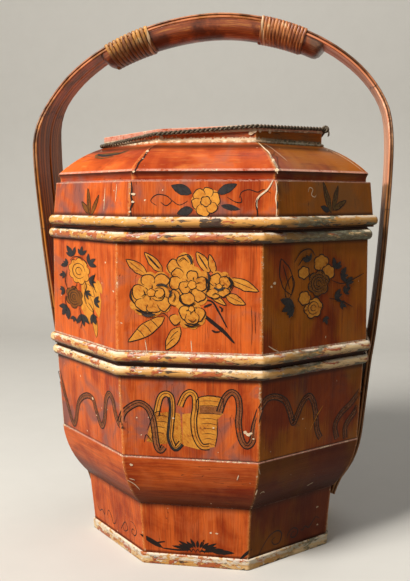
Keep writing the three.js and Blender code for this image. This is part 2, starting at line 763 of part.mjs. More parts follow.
const basket = new THREE.Group();
basket.add(base, tray, lid, handle);
export default basket;
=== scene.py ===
import math
import random

import bpy
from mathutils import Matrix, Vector


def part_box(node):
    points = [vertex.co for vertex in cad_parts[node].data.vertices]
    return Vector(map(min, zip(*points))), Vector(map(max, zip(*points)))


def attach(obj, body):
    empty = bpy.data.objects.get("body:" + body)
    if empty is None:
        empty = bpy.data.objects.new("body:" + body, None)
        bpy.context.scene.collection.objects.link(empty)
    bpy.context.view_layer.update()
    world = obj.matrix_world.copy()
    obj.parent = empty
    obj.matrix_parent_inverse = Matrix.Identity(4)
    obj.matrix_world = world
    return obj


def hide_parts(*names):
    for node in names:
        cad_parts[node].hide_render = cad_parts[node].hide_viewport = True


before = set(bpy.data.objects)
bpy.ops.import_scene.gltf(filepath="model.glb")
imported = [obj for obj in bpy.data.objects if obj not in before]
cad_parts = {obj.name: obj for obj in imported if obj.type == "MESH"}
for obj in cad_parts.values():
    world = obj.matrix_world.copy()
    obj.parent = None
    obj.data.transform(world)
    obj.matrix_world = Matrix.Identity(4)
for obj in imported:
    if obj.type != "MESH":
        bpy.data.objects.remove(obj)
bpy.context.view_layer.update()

# The foot's boards
# Eight softwood boards stand on edge, mitred and glued at the corners, and flare a little upward.
# Gesso and red-orange lacquer cover them, brushed along the grain and rubbed thin on the arrises.
MM = 0.001
SIDE_NAMES = ["right", "back_right", "back", "back_left", "left", "front_left", "front", "front_right"]
SIDES = len(SIDE_NAMES)
SIDE_ANGLE = math.tau / SIDES
HALF_SIDE = SIDE_ANGLE / 2
RIGHT, BACK_RIGHT, BACK, BACK_LEFT, LEFT, FRONT_LEFT, FRONT, FRONT_RIGHT = range(SIDES)
UP = Vector((0.0, 0.0, 1.0))


def colour(code):
    """A linear colour from a six-digit code."""
    parts = [int(code[i:i + 2], 16) / 255 for i in (0, 2, 4)]
    return (*[p / 12.92 if p <= 0.04045 else ((p + 0.055) / 1.055) ** 2.4 for p in parts], 1.0)


class Wire:
    """A socket in a material; arithmetic on it adds the nodes that it needs."""

    def __init__(self, tree, socket):
        self.tree = tree
        self.socket = socket

    def node(self, kind, settings, inputs, output=0):
        """Any other node, from its type, its settings, and its sockets' values or links."""
        made = self.tree.nodes.new(kind)
        for name, value in settings.items():
            if name == "stops":
                ramp = made.color_ramp
                ramp.interpolation = "CONSTANT"
                for place, shade in value[1:]:
                    ramp.elements.new(place)
                for element, (place, shade) in zip(ramp.elements, value + value[:1]):
                    element.position = place
                    element.color = (shade, shade, shade, 1.0)
            else:
                setattr(made, name, value)
        for name, value in inputs.items():
            if isinstance(value, Wire):
                self.tree.links.new(value.socket, made.inputs[name])
            else:
                made.inputs[name].default_value = value
        return Wire(self.tree, made.outputs[output])

    def sum_of(self, operation, first, second):
        ends = [end.socket.type if isinstance(end, Wire) else type(end) for end in (first, second)]
        if "VECTOR" not in ends:
            return self.node("ShaderNodeMath", {"operation": operation}, {0: first, 1: second})
        spread = [(end,) * 3 if isinstance(end, (int, float)) else end for end in (first, second)]
        return self.node("ShaderNodeVectorMath", {"operation": operation}, dict(enumerate(spread)))

    def __add__(self, other):
        return self.sum_of("ADD", self, other)

    def __sub__(self, other):
        return self.sum_of("SUBTRACT", self, other)

    def __rsub__(self, other):
        return self.sum_of("SUBTRACT", other, self)

    def __mul__(self, other):
        return self.sum_of("MULTIPLY", self, other)

    def __truediv__(self, other):
        return self.sum_of("DIVIDE", self, other)

    __radd__ = __add__

    def math(self, operation, *others):
        return self.node("ShaderNodeMath", {"operation": operation}, dict(enumerate((self, *others))))

    def split(self):
        parts = self.node("ShaderNodeSeparateXYZ", {}, {0: self}).socket.node.outputs
        return [Wire(self.tree, part) for part in parts]

    def rise(self, low, high):
        """0 at low and 1 at high, eased between."""
        return self.node("ShaderNodeMapRange", {"interpolation_type": "SMOOTHSTEP"},
                         {"Value": self, "From Min": low, "From Max": high})

    def between(self, first, second):
        """The colour this share of the way from first to second, each a wire or a six-digit code."""
        ends = [colour(end) if isinstance(end, str) else end for end in (first, second)]
        return self.node("ShaderNodeMix", {"data_type": "RGBA"}, {0: self, 6: ends[0], 7: ends[1]}, 2)

    def noise(self, scale, detail, rough, warp=0.0):
        """A noise's height at this place, about 0.3 to 0.7, with its scale in lumps per millimetre."""
        return self.node("ShaderNodeTexNoise", {}, {
            "Vector": self, "Scale": scale, "Detail": detail, "Roughness": rough, "Distortion": warp})


def join(x, y, z):
    return x.node("ShaderNodeCombineXYZ", {}, {0: x, 1: y, 2: z})


def new_finish(name):
    """A material, and the place on the object in millimetres."""
    finish = bpy.data.materials.new(name)
    finish.use_nodes = True
    start = Wire(finish.node_tree, None)
    return finish, start.node("ShaderNodeTexCoord", {}, {}, "Object") * 1000.0


def dress(finish, base, roughness, height, relief, gloss, coat=None, alpha=None):
    """Links what varies to the shader, and sets the gloss and a coat's roughness on its own sockets."""
    tree = finish.node_tree
    shader = tree.nodes["Principled BSDF"]
    shader.inputs["Specular IOR Level"].default_value = gloss
    bump = base.node("ShaderNodeBump", {}, {"Strength": 1.0, "Distance": relief * MM, "Height": height})
    fed = {"Base Color": base, "Roughness": roughness, "Normal": bump, "Alpha": alpha}
    if coat:
        fed["Coat Weight"], shader.inputs["Coat Roughness"].default_value = coat
    for name, wire in fed.items():
        if wire is not None:
            tree.links.new(wire.socket, shader.inputs[name])


def on_sides(place, turn):
    """A place as its distance off the axis, along its side, its height, and its side's number."""
    x, y, height = place.split()
    around = y.math("ARCTAN2", x) - turn
    side = ((around / SIDE_ANGLE).math("ROUND") + SIDES).math("MODULO", SIDES)
    facing = side * SIDE_ANGLE + turn
    cos, sin = facing.math("COSINE"), facing.math("SINE")
    return x * cos + y * sin, y * cos - x * sin, height, side


# How far each side's varnish has browned, with painted shade on the sides turned from the key lamp, from the
# right round by the back
SIDE_BROWNING_AND_SHADE = [0.8, 0.6, 0.25, 0.35, 0.2, 0.0, 0.06, 0.9]
DEEP_RED, BRIGHT_ORANGE, PALE_ORANGE = "952f0e", "de6626", "ea964e"
PURPLE_BLOOM, SMOKE, UMBER, OCHRE_STAIN = "875248", "581b0a", "5a2204", "8e5c0c"
PINK_HIGHLIGHT_AND_BLOOM, GESSO, GREY_GESSO, GRIME_AND_SHADE, PAINTED_SHADE_BROWN = "d8a08c", "ead2ae", "6c6a58", "22110a", "2c0e05"
ARRIS_WEAR = 2.4


def lacquer(name, turn=0.0, lying=False, redness=0.0, highlit_and_rubbed_at=(), grimy_and_shaded_at=(), bloom=0.5, lean=0.0,
            bare_below=0.0, ochre=0.0, extra_side_shade=0.0, gloss=0.1):
    """Lacquer on boards whose grain stands, or lies along the side, and bare gesso below a height."""
    finish, place = new_finish(name)
    x = place.split()[0]
    off, along, height, side = on_sides(place, turn)
    across, down = (height + off, along) if lying else (along, height)
    grain = join(across * 0.8, down * 0.02, side * 9.7).noise(1.0, 5.0, 0.62)
    hairs = join(across * 2.2, down * 0.045, side * 4.1).noise(1.0, 3.0, 0.6)
    bands = join(across * 0.07, down * 0.009, side * 5.3 + 1.7).noise(1.0, 4.0, 0.6, 0.2)
    clouds = join(along + side * 211.0, height, off * 0.3).noise(0.03, 4.0, 0.6, 0.8)
    stains = join(along + side * 97.0, height * 0.6, off * 0.2).noise(0.02, 3.0, 0.5)
    # The left of each piece is painted a little brighter: painted light on the side towards the key lamp
    tone = bands * 0.6 + clouds * 0.4 + x.rise(-30.0, -140.0) * 0.035 - redness * 0.05
    base = tone.rise(0.33, 0.61).between(DEEP_RED, BRIGHT_ORANGE)
    base = (hairs.rise(0.52, 0.72) * 0.3).between(base, PALE_ORANGE)
    faded = (clouds * 0.7 + stains * 0.3).rise(0.5 - bloom * 0.03, 0.68 - bloom * 0.03)
    base = (faded * min(bloom * 1.2, 0.95)).between(base, PURPLE_BLOOM)
    base = (grain.rise(0.47, 0.32) * 0.45).between(base, SMOKE)
    # Browned varnish and painted shade darken the sides turned from the key lamp, and a further painted shade
    # darkens them more on some tiers
    stops = [(number / SIDES, share) for number, share in enumerate(SIDE_BROWNING_AND_SHADE)]
    browned_and_shaded = side.node("ShaderNodeValToRGB", {"stops": stops}, {0: side / SIDES + 0.03})
    yellowed = (stains + grain * 0.2).rise(0.53 - ochre, 0.68 - ochre)
    base = (browned_and_shaded * 0.85).between(base, yellowed.between(UMBER, OCHRE_STAIN))
    base = (browned_and_shaded * extra_side_shade).between(base, PAINTED_SHADE_BROWN)
    base = (hairs.rise(0.42, 0.24) * 0.35).between(base, SMOKE)
    split = join(across * 0.045, down * 0.004, side * 2.9).noise(1.0, 3.0, 0.7) - 0.5
    crack = split.math("ABSOLUTE").rise(0.002, 0.0006) * clouds.rise(0.5, 0.6)
    base = (crack * 0.5).between(base, GRIME_AND_SHADE)
    chips = join(along + side * 53.0, height, off).noise(0.42, 4.0, 0.7)
    worn = chips + clouds * 0.6
    arris = (off * math.tan(HALF_SIDE) - along.math("ABSOLUTE")).rise(ARRIS_WEAR, 0.2)
    base = (arris * worn.rise(0.6, 0.84) * 0.5).between(base, PALE_ORANGE)
    rubbed = arris * worn.rise(0.9, 0.98)
    level_height = height - x * lean if lean else height
    # Along given heights a pink line is painted, partly bloom and partly a painted highlight, and the lacquer
    # there is rubbed through to the gesso in places
    for level, depth, most in highlit_and_rubbed_at:
        edge = (level_height - level).math("ABSOLUTE").rise(depth, depth * 0.4)
        base = (edge * worn.rise(0.9 - most * 0.4, 1.1 - most * 0.4) * 0.7).between(base, PINK_HIGHLIGHT_AND_BLOOM)
        rubbed = rubbed.math("MAXIMUM", edge * worn.rise(1.16 - most * 0.35, 1.22 - most * 0.35))
    # Near given heights the lacquer is painted darker: grime mixed with painted shade in the joints, under
    # the beads and under overhangs
    for level, depth in grimy_and_shaded_at:
        dirty_and_shaded = (level_height - level).math("ABSOLUTE").rise(depth, 0.0) * 0.75
        base = (dirty_and_shaded * (1.0 - rubbed)).between(base, GRIME_AND_SHADE)
    fleck = join(along + side * 71.0, height, off).noise(0.21, 2.0, 0.4).rise(0.765, 0.775)
    rubbed = rubbed.math("MAXIMUM", fleck)
    ground = GESSO
    if bare_below:
        ragged = height + (chips - 0.5) * 9.0
        rubbed = rubbed.math("MAXIMUM", ragged.rise(bare_below + 0.5, bare_below - 0.5))
        ground = (x.rise(40.0, 75.0) * chips.rise(0.62, 0.45)).between(GESSO, GREY_GESSO)
    base = (rubbed * 0.9).between(base, ground)
    relief = grain * 0.5 + hairs * 0.4 - rubbed * 0.7 - crack + clouds * 0.9
    dress(finish, base, 0.34 + grain * 0.2 + rubbed * 0.3, relief, 0.35, gloss,
          coat=((1.0 - rubbed) * (0.1 - browned_and_shaded * 0.07), 0.2))
    return finish


def geometry_steps():
    """Welds a board's facets, drops their flat shading, and smooths them."""
    steps = bpy.data.node_groups.new("weld_facets", "GeometryNodeTree")
    for way in ("INPUT", "OUTPUT"):
        steps.interface.new_socket("Geometry", in_out=way, socket_type="NodeSocketGeometry")
    last = steps.nodes.new("NodeGroupInput").outputs[0]
    flat, sharp = (steps.nodes.new("GeometryNodeRemoveAttribute") for _ in range(2))
    flat.inputs["Name"].default_value = "custom_normal"
    sharp.inputs["Name"].default_value = "sharp_edge"
    weld = steps.nodes.new("GeometryNodeMergeByDistance")
    weld.inputs["Distance"].default_value = 0.01 * MM
    smooth = steps.nodes.new("GeometryNodeSetShadeSmooth")
    for step in (flat, sharp, weld, smooth, steps.nodes.new("NodeGroupOutput")):
        steps.links.new(last, step.inputs[0])
        last = step.outputs[0] if step.outputs else None
    return steps


WELD = geometry_steps()

ARRIS_ANGLE = 40.0


def ease(node, finish, round_by):
    """Gives a CAD node its finish and rounds its arrises, by modifiers alone."""
    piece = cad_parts[node]
    for slot in piece.material_slots:
        slot.material = finish
    piece.modifiers.new("weld", "NODES").node_group = WELD
    if round_by:
        rounding = piece.modifiers.new("round", "BEVEL")
        rounding.width = round_by * MM
        rounding.segments = 2
        rounding.limit_method = "ANGLE"
        rounding.angle_limit = math.radians(ARRIS_ANGLE)
    piece.modifiers.new("even", "WEIGHTED_NORMAL").keep_sharp = True


def directions(angle):
    """The directions off the axis and aside, at an angle round it."""
    out = Vector((math.cos(angle), math.sin(angle), 0.0))
    return out, Vector((-out.y, out.x, 0.0))


def wall_of(node, turn=0.0, lean=0.0):
    """A wall's outer face: its turn, its lean, its ends, and its heights and distances off the axis."""
    facing = directions(turn)[0]
    reach = {}
    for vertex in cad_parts[node].data.vertices:
        height = round((vertex.co.z - vertex.co.x * lean) / MM, 2)
        reach[height] = max(reach.get(height, 0.0), vertex.co.dot(facing) / MM)
    line = []
    for height, distance in sorted(reach.items()):
        while len(line) > 1:
            (low, first), (high, second) = line[-2:]
            if second > first + (distance - first) * (high - low) / (height - low) + 0.001:
                break
            line.pop()
        line.append((height, distance))
    return {"turn": turn, "lean": lean, "line": line, "foot": line[0][0], "top": line[-1][0]}


def distance_at(wall, height):
    line = wall["line"]
    for (low, first), (high, second) in zip(line, line[1:]):
        if height <= high:
            break
    return first + (second - first) * (height - low) / (high - low)


def on_wall(wall, side, along, height, proud):
    """A point on a side of a wall, in metres, from its place on the side in millimetres."""
    out, aside = directions(side * SIDE_ANGLE + wall["turn"])
    place = out * (distance_at(wall, height) + proud) + aside * along
    return (place + UP * (height + wall["lean"] * place.x)) * MM


def add_piece(name, points, faces, finish, body, slot):
    """A mesh piece that rides on a body."""
    mesh = bpy.data.meshes.new(name)
    mesh.from_pydata(points, [], faces)
    mesh.validate()
    mesh.materials.append(finish)
    mesh.shade_smooth()
    piece = bpy.data.objects.new(name, mesh)
    bpy.context.scene.collection.objects.link(piece)
    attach(piece, body)
    return piece


def tube(rings, closed=False):
    """A tube through rings of points in millimetres, with its ends covered if it isn't closed."""
    size, count = len(rings[0]), len(rings)
    faces = []
    for ring in range(count if closed else count - 1):
        here, there = ring * size, (ring + 1) % count * size
        faces += [[here + i, here + (i + 1) % size, there + (i + 1) % size, there + i] for i in range(size)]
    if not closed:
        faces += [list(reversed(range(size))), [(count - 1) * size + i for i in range(size)]]
    return [point * MM for ring in rings for point in ring], faces


def drawn_through(stations, section, closed=False):
    """A tube of one section through stations, each a point, a direction out and a direction aside."""
    return tube([[middle + aside * wide + out * thick for wide, thick in section]
                 for middle, out, aside in stations], closed)


def joined(tubes):
    """Several shapes as the points and faces of one mesh."""
    points, faces = [], []
    for more_points, more_faces in tubes:
        start = len(points)
        points += more_points
        faces += [[start + i for i in face] for face in more_faces]
    return points, faces


CORNER_ROUND = 3.5
CORNER_PROUD = 0.3
CORNER_REACH = 4.5
CORNER_SINK = CORNER_PROUD + 0.1
CORNER_GAP = 0.3


def corner_lacquer(name, wall, finish, body):
    """The gesso and lacquer that bridge the mitres and round the corners of a tier."""
    cos, sin = math.cos(HALF_SIDE), math.sin(HALF_SIDE)
    bends = [(CORNER_ROUND * math.sin(HALF_SIDE * bend), CORNER_ROUND * math.cos(HALF_SIDE * bend))
             for bend in (-1.0, -0.5, 0.0, 0.5, 1.0)]
    reach, drop = CORNER_REACH * cos - CORNER_SINK * sin, CORNER_REACH * sin + CORNER_SINK * cos
    # The skin feathers out a little farther on one of the two boards than on the other
    (first, first_high), (last, last_high) = bends[0], bends[-2]
    section = [(first - reach, first_high - drop), *bends, (last + reach, last_high - drop), (0.0, 0.0)]
    between = [height for height, _ in wall["line"][1:-1]]
    levels = [wall["foot"] + CORNER_GAP, *between, wall["top"] - CORNER_GAP]
    centres = [(distance_at(wall, height) + CORNER_PROUD - CORNER_ROUND) / cos for height in levels]
    corners = []
    for number in range(SIDES):
        out, aside = directions((number + 0.5) * SIDE_ANGLE + wall["turn"])
        stations = [(out * centre + UP * height, out, aside) for centre, height in zip(centres, levels)]
        corners.append(drawn_through(stations, section))
    piece = add_piece(name, *joined(corners), finish, body, "lacquered_board")
    piece.data.set_sharp_from_angle(angle=math.radians(35.0))


def finish_tier(kind, wall, finish, body, round_by):
    """Gives a tier's eight boards their finish, and its corners their skin of lacquer."""
    for side in SIDE_NAMES:
        ease(f"{kind}_board_{side}", finish, round_by)
    corner_lacquer(f"{kind}_corners", wall, finish, body)


FOOT_WALL = wall_of("foot_board_right")
FOOT_TOP = FOOT_WALL["top"]
# A painted pink highlight runs along its top edge, and its sides turned from the lamp get a further painted
# shade
# Painted shade, mixed with grime, darkens the foot under the cove's overhang and just above the band
foot_lacquer = lacquer("foot_lacquer", redness=0.8, bloom=0.2, extra_side_shade=0.5, gloss=0.08,
                       highlit_and_rubbed_at=[(FOOT_TOP, 1.0, 0.5)], grimy_and_shaded_at=[(FOOT_TOP + 2.0, 9.0), (11.0, 2.5)])
finish_tier("foot", FOOT_WALL, foot_lacquer, "base", 0.5)

# The foot's band
# A strip of split cane bent round the bottom of the foot, glued and covered with gesso.
# Its lacquer has mostly flaked off, so the pale ground shows with orange scraps on it.
CANE_CREAM, CANE_OCHRE, CANE_BROWN = "f2d09a", "d4984a", "7c4c20"
FLAKE_ORANGE, FLAKE_RED, FLAKE_DARK = "b8642e", "a8431f", "2b1d15"
CHALK, OLD_OLIVE, VERDIGRIS = "ece0ca", "57523a", "84866c"
CANE_RADIUS = 155.0


def flaked_cane(name, foot, turn, red, dark, chalky, dull, golden=0.0, bleached=0.0, stain_at=0.0):
    """Split cane whose lacquer has flaked, with chalky gesso left in places, grime and painted shade low on
    it, and a painted highlight along its top.
    """
    finish, place = new_finish(name)
    x, y, height = place.split()
    run = (y.math("ARCTAN2", x) - turn) * CANE_RADIUS
    up = height - foot
    flakes = join(run * 0.06, up * 0.16, run * 0.01).noise(1.0, 6.0, 0.6, 0.4)
    scraps = join(run * 0.15 + 40.0, up * 0.32, 3.0).noise(1.0, 5.0, 0.62, 0.3)
    dirt = join(run * 0.06 + 90.0, up * 0.24, 7.0).noise(1.0, 5.0, 0.66, 0.5)
    fibres = join(run * 0.03, up * 2.2, 1.0).noise(1.0, 3.0, 0.6)
    tint = join(run * 0.02, up * 0.1, 5.0).noise(1.0, 3.0, 0.5)
    base = (tint + scraps * 0.3).rise(0.52 - golden, 0.74 - golden).between(CANE_CREAM, CANE_OCHRE)
    base = (fibres.rise(0.48, 0.3) * 0.5).between(base, CANE_BROWN)
    lacquered = flakes.rise(0.6 - red * 0.2, 0.62 - red * 0.2) * (1.0 - x.rise(50.0, 90.0) * bleached)
    base = lacquered.between(base, scraps.rise(0.4, 0.6).between(FLAKE_ORANGE, FLAKE_RED))
    chalk_and_top_highlight = scraps.rise(0.68 - chalky * 0.12, 0.71 - chalky * 0.12)
    # A cream line along the top is worn gesso and a painted highlight
    chalk_and_top_highlight = chalk_and_top_highlight.math("MAXIMUM", up.rise(6.2, 8.4) * scraps.rise(0.42, 0.5) * 0.8)
    base = chalk_and_top_highlight.between(base, CHALK)
    # Painted shade: the lower part of the bead, which turns down, is painted darker brown
    low = up.rise(4.4, 0.6)
    base = (low * 0.65).between(base, CANE_BROWN)
    grime_and_low_shade = (dirt + low * 0.15).rise(0.66 - dark * 0.16, 0.69 - dark * 0.16)
    if stain_at:
        stained = (run - stain_at).math("ABSOLUTE").rise(15.0, 4.0) * up.rise(8.6, 6.0)
        grime_and_low_shade = grime_and_low_shade.math("MAXIMUM", (stained * 0.35 + scraps).rise(0.66, 0.74))
    base = (grime_and_low_shade * 0.92).between(base, FLAKE_DARK)
    tarnish = (dirt + tint).rise(1.02 - dull * 0.25, 1.1 - dull * 0.25)
    shaded = x.rise(60.0, 110.0) * y.rise(-20.0, -70.0) * tarnish
    base = (shaded * 0.9).between(base, scraps.rise(0.45, 0.62).between(OLD_OLIVE, VERDIGRIS))
    height_of = fibres * 0.25 + lacquered * 0.8 + chalk_and_top_highlight * 0.5 - grime_and_low_shade * 0.4 + scraps * 0.5
    dress(finish, base, 0.42 + chalk_and_top_highlight * 0.3 + fibres * 0.15 - lacquered * 0.1, height_of, 0.4, 0.4,
          coat=(lacquered * 0.2, 0.25))
    return finish


band_cane = flaked_cane("foot_band_cane", -2.0, 0.0, red=0.4, dark=0.3, chalky=0.8, dull=0.5, bleached=0.9)
ease("foot_band", band_cane, 0.3)

# The base's floor
# A board that lies on the foot, inside the cove. It is painted dark, as the inside is.
# Dust and the rubbing of dishes have dulled it.


def grained_lacquer(name, dark, light, dusty):
    """Thin lacquer on one broad board, with its grain from left to right."""
    finish, place = new_finish(name)
    x, y, height = place.split()
    grain = join(x * 0.04, y * 0.9, height * 0.9).noise(1.0, 4.0, 0.6)
    wear = place.noise(0.03, 4.0, 0.6)
    base = grain.rise(0.35, 0.65).between(dark, light)
    base = (wear.rise(0.52, 0.7) * 0.6).between(base, dusty)
    dress(finish, base, 0.5 + wear * 0.25, grain + wear, 0.2, 0.4)
    return finish


inside = grained_lacquer("inner_lacquer", "3a140d", "6b2a18", "8a5a3c")
ease("base_floor", inside, 0.4)

# The cove
# Eight boards moulded to a convex curve carry the base out from the foot to its full width.
# Their grain lies along the side; their upper edge is rubbed pale and carries a painted pink highlight.
COVE_WALL = wall_of("cove_board_right")
# Painted shade, mixed with grime, darkens the boards towards the foot, where the curve turns under, and more
# on the sides turned from the lamp
cove_lacquer = lacquer("cove_lacquer", lying=True, redness=1.1, bloom=0.15, extra_side_shade=0.7, gloss=0.06,
                       highlit_and_rubbed_at=[(COVE_WALL["top"], 1.3, 0.9)], grimy_and_shaded_at=[(COVE_WALL["foot"], 30.0)])
finish_tier("cove", COVE_WALL, cove_lacquer, "base", 0.5)

# The base's walls
# Eight boards lean out a little on the cove, their grain upright, glued at the mitres.
# They carry the base's red lacquer and its painted ribbon.
BODY_WALL = wall_of("body_board_right")
BODY_FOOT, BODY_TOP = BODY_WALL["foot"], BODY_WALL["top"]
# A painted pink highlight runs along their foot
# Painted shade, mixed with grime, darkens the walls under the rim's bead and at their top and foot
body_lacquer = lacquer("body_lacquer", redness=0.7, bloom=0.8, highlit_and_rubbed_at=[(BODY_FOOT, 0.8, 0.6)],
                       grimy_and_shaded_at=[(BODY_TOP - 12.0, 4.0), (BODY_FOOT, 2.0), (BODY_TOP, 5.0), (BODY_TOP, 6.0)])
finish_tier("body", BODY_WALL, body_lacquer, "base", 0.4)

# The base's rim
# A half-round bead of split cane is bent round outside, and a rebated lip stands up inside.
# The bead's lacquer has flaked where the tray rubs it.


def dress_bead(node, turn=0.0, **wear):
    """Flaked cane on a bead, with its pattern measured up from the bead's foot."""
    ease(node, flaked_cane(f"{node}_cane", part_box(node)[0].z / MM, turn, **wear), 0.0)


dress_bead("base_rim_bead", red=0.3, dark=0.35, chalky=0.6, dull=0.15)
ease("base_lip", inside, 0.4)

# The painted ribbon round the base
# A brown ribbon with dark outlines waves round all eight sides, with a painted scroll at the front.
# It is brushed on the lacquer with thin oil paint, which has worn through in places.
hand = random.Random(11)
PAINT_PROUD = 0.12
INK_PROUD = 0.2


def worn_paint(name, shade, darker, hold, cover=1.0):
    """Thin brushed paint: a low hold wears it through, and a low cover lets the lacquer show."""
    finish, place = new_finish(name)
    x, y, height = place.split()
    streaks = join(x * 0.5 + height * 0.3, y * 0.5 - height * 0.3, height * 0.2).noise(1.0, 4.0, 0.6)
    patches = place.noise(0.09, 5.0, 0.65)
    base = (streaks * 0.5 + patches * 0.5).rise(0.35, 0.65).between(darker, shade)
    kept = (patches + streaks * 0.35).rise(0.5 - hold * 0.1, 0.66 - hold * 0.1) * cover
    dress(finish, base, 0.42 + patches * 0.2, streaks, 0.06, 0.2, alpha=kept)
    return finish


PAINTS = {
    "gold": worn_paint("gold_paint", "e29a38", "c47724", 1.2),
    "ochre": worn_paint("ochre_paint", "e29a38", "c47426", 0.6, 0.88),
    "olive": worn_paint("olive_paint", "74582a", "4a3014", 0.8, 0.8),
    "dusk": worn_paint("dusk_paint", "8e5a20", "623a14", 0.8, 0.75),
    "brown": worn_paint("brown_paint", "a0623c", "744022", 0.4, 0.65),
    "slate": worn_paint("slate_paint", "343130", "1e1b1a", 1.0, 0.92),
    "ink": worn_paint("ink_paint", "24140e", "120b08", 1.5),
    "gesso": worn_paint("bare_gesso", "ecd6b6", "d2b08a", 1.4),
}


def smooth_line(points, steps):
    """Points on a smooth line through given points."""
    ends = [points[0]] + list(points) + [points[-1]]
    line = []
    for a, b, c, d in zip(ends, ends[1:], ends[2:], ends[3:]):
        for i in range(steps):
            t = i / steps
            line.append(tuple(0.5 * (2 * q + (r - p) * t + (2 * p - 5 * q + 4 * r - s) * t * t
                                     + (3 * q - p - 3 * r + s) * t ** 3) for p, q, r, s in zip(a, b, c, d)))
    return line + [tuple(points[-1])]


def strip(line, reaches):
    """A strip beside a line, from its reach on the left to its reach on the right at each point."""
    placed = []
    for i, ((x, y), pair) in enumerate(zip(line, reaches)):
        before, after = line[max(0, i - 1)], line[min(len(line) - 1, i + 1)]
        along = Vector((after[0] - before[0], after[1] - before[1])).normalized()
        placed += [(x - along.y * reach, y + along.x * reach) for reach in pair]
    return placed, [[2 * i, 2 * i + 1, 2 * i + 3, 2 * i + 2] for i in range(len(line) - 1)]


def brush(points, width, tail=0.25, steps=5):
    """A stroke that swells from a fine tail and thins out again."""
    line = smooth_line(points, steps)
    reaches = []
    for i in range(len(line)):
        swell = math.sin(math.pi * (i / (len(line) - 1))) ** 0.6
        half = width / 2 * (tail + (1 - tail) * swell) * hand.uniform(0.88, 1.12)
        reaches.append((half, -half))
    return strip(line, reaches)


def band(points, width, offset=0.0):
    """An even stroke beside a line."""
    line = smooth_line(points, 6)
    return strip(line, [(offset + width / 2, offset - width / 2)] * len(line))


def patch(outline):
    """A filled shape, as a fan round its middle."""
    middle = (sum(x for x, _ in outline) / len(outline), sum(y for _, y in outline) / len(outline))
    count = len(outline)
    return [middle, *outline], [[0, i + 1, (i + 1) % count + 1] for i in range(count)]


LEAF_STEPS = 7


def leaf(root, tip, width, fill="ochre", ink=0.7, vein=0.0):
    """A pointed leaf, filled and drawn round, with a vein if that has a width."""
    root, tip = Vector(root), Vector(tip)
    aside = Vector((root.y - tip.y, tip.x - root.x)).normalized()
    edge = []
    for sign, steps in ((1, range(0, LEAF_STEPS)), (-1, range(LEAF_STEPS, 0, -1))):
        for t in (step / LEAF_STEPS for step in steps):
            swell = width / 2 * math.sin(math.pi * t ** 0.85) ** 0.8 * hand.uniform(0.9, 1.1)
            edge.append(tuple(root.lerp(tip, t) + aside * (sign * swell)))
    shapes = [(fill, patch(edge))] if fill else []
    if ink:
        shapes.append(("ink", brush(edge + edge[:1], ink, 0.6, 2)))
    if vein:
        shapes.append(("ink", brush([tuple(root.lerp(tip, t)) for t in (0.15, 0.5, 0.85)], vein)))
    return shapes


def lobed(notches, fill="ochre", ink=1.0, bulge=0.3):
    """A mass of petals: an arc swells outward from each notch to the next, and is drawn with one stroke."""
    centre = sum((Vector(notch) for notch in notches), Vector((0, 0))) / len(notches)
    edge, arcs = [], []
    for here, there in zip(notches, notches[1:] + notches[:1]):
        here, chord = Vector(here), Vector(there) - Vector(here)
        out = Vector((chord.y, -chord.x)) * bulge
        out *= 1 if out.dot(here + chord / 2 - centre) > 0 else -1
        arcs.append([tuple(here + chord * t + out * math.sin(math.pi * t) ** 0.7)
                     for t in (0, 0.15, 0.35, 0.65, 0.85, 1)])
        edge += arcs[-1][:-1]
    return [(fill, patch(edge))] + [("ink", brush(arc, ink, 0.3, 2)) for arc in arcs] * bool(ink)


def bloom(middle, radius, count, fill, ink, rings):
    """A round flower with a lobed edge, and rings drawn in its middle."""
    start = hand.uniform(0, math.tau)
    notches = [(middle[0] + radius * hand.uniform(0.85, 1.0) * math.cos(start + i * math.tau / count),
                middle[1] + radius * hand.uniform(0.85, 1.0) * math.sin(start + i * math.tau / count))
               for i in range(count)]
    shapes = lobed(notches, fill, ink, 0.36)
    for radius in rings:
        turn = [(middle[0] + radius * math.cos(i * 0.8), middle[1] + radius * math.sin(i * 0.8))
                for i in range(8)]
        shapes.append(("ink", brush(turn, 0.7, 0.4, 3)))
    return shapes


def petal(middle, wide, tall, heart, fill="ochre", ink=1.0):
    """A round petal with a dent in its tip, drawn round except at the flower's heart."""
    inward = math.atan2(heart[1] - middle[1], heart[0] - middle[0])
    edge = []
    for step in range(12):
        around = inward + (step + 0.5) * math.tau / 12
        swell = hand.uniform(0.94, 1.08) * (0.84 if step in (5, 6) else 1.0)
        edge.append((middle[0] + wide * swell * math.cos(around),
                     middle[1] + tall * swell * math.sin(around)))
    return [(fill, patch(edge)), ("ink", brush(edge[1:-1], ink, 0.35, 3))]


def tuft(root, angle, size):
    """Three short dark dabs that fan out from a stem."""
    shapes = []
    for spread in (-42, 0, 42):
        lean = math.radians(angle + spread + hand.uniform(-8, 8))
        reach = size * hand.uniform(0.7, 1.2)
        tip = (root[0] + reach * math.cos(lean), root[1] + reach * math.sin(lean))
        shapes += leaf(root, tip, reach * hand.uniform(0.35, 0.55), "slate", 0)
    return shapes


def strokes(kind, width, *lines):
    return [(kind, brush(line, width)) for line in lines]


def crack(points, gesso, ink):
    """A split in the lacquer, with bare gesso along it."""
    return strokes("gesso", gesso, points) * bool(gesso) + strokes("ink", ink, points) * bool(ink)


CHIP_STEP = math.tau / 9


def chip(along, height, size):
    """A spot where the lacquer has come off to the gesso."""
    return [("gesso", patch([(along + size * hand.uniform(0.6, 1.1) * math.cos(a * CHIP_STEP),
                              height + size * hand.uniform(0.4, 0.8) * math.sin(a * CHIP_STEP))
                             for a in range(9)]))]


def several(draw, *rows):
    """Several leaves, flowers, tufts, cracks or chips, one for each row of what it is drawn from."""
    return [shape for row in rows for shape in draw(*row)]


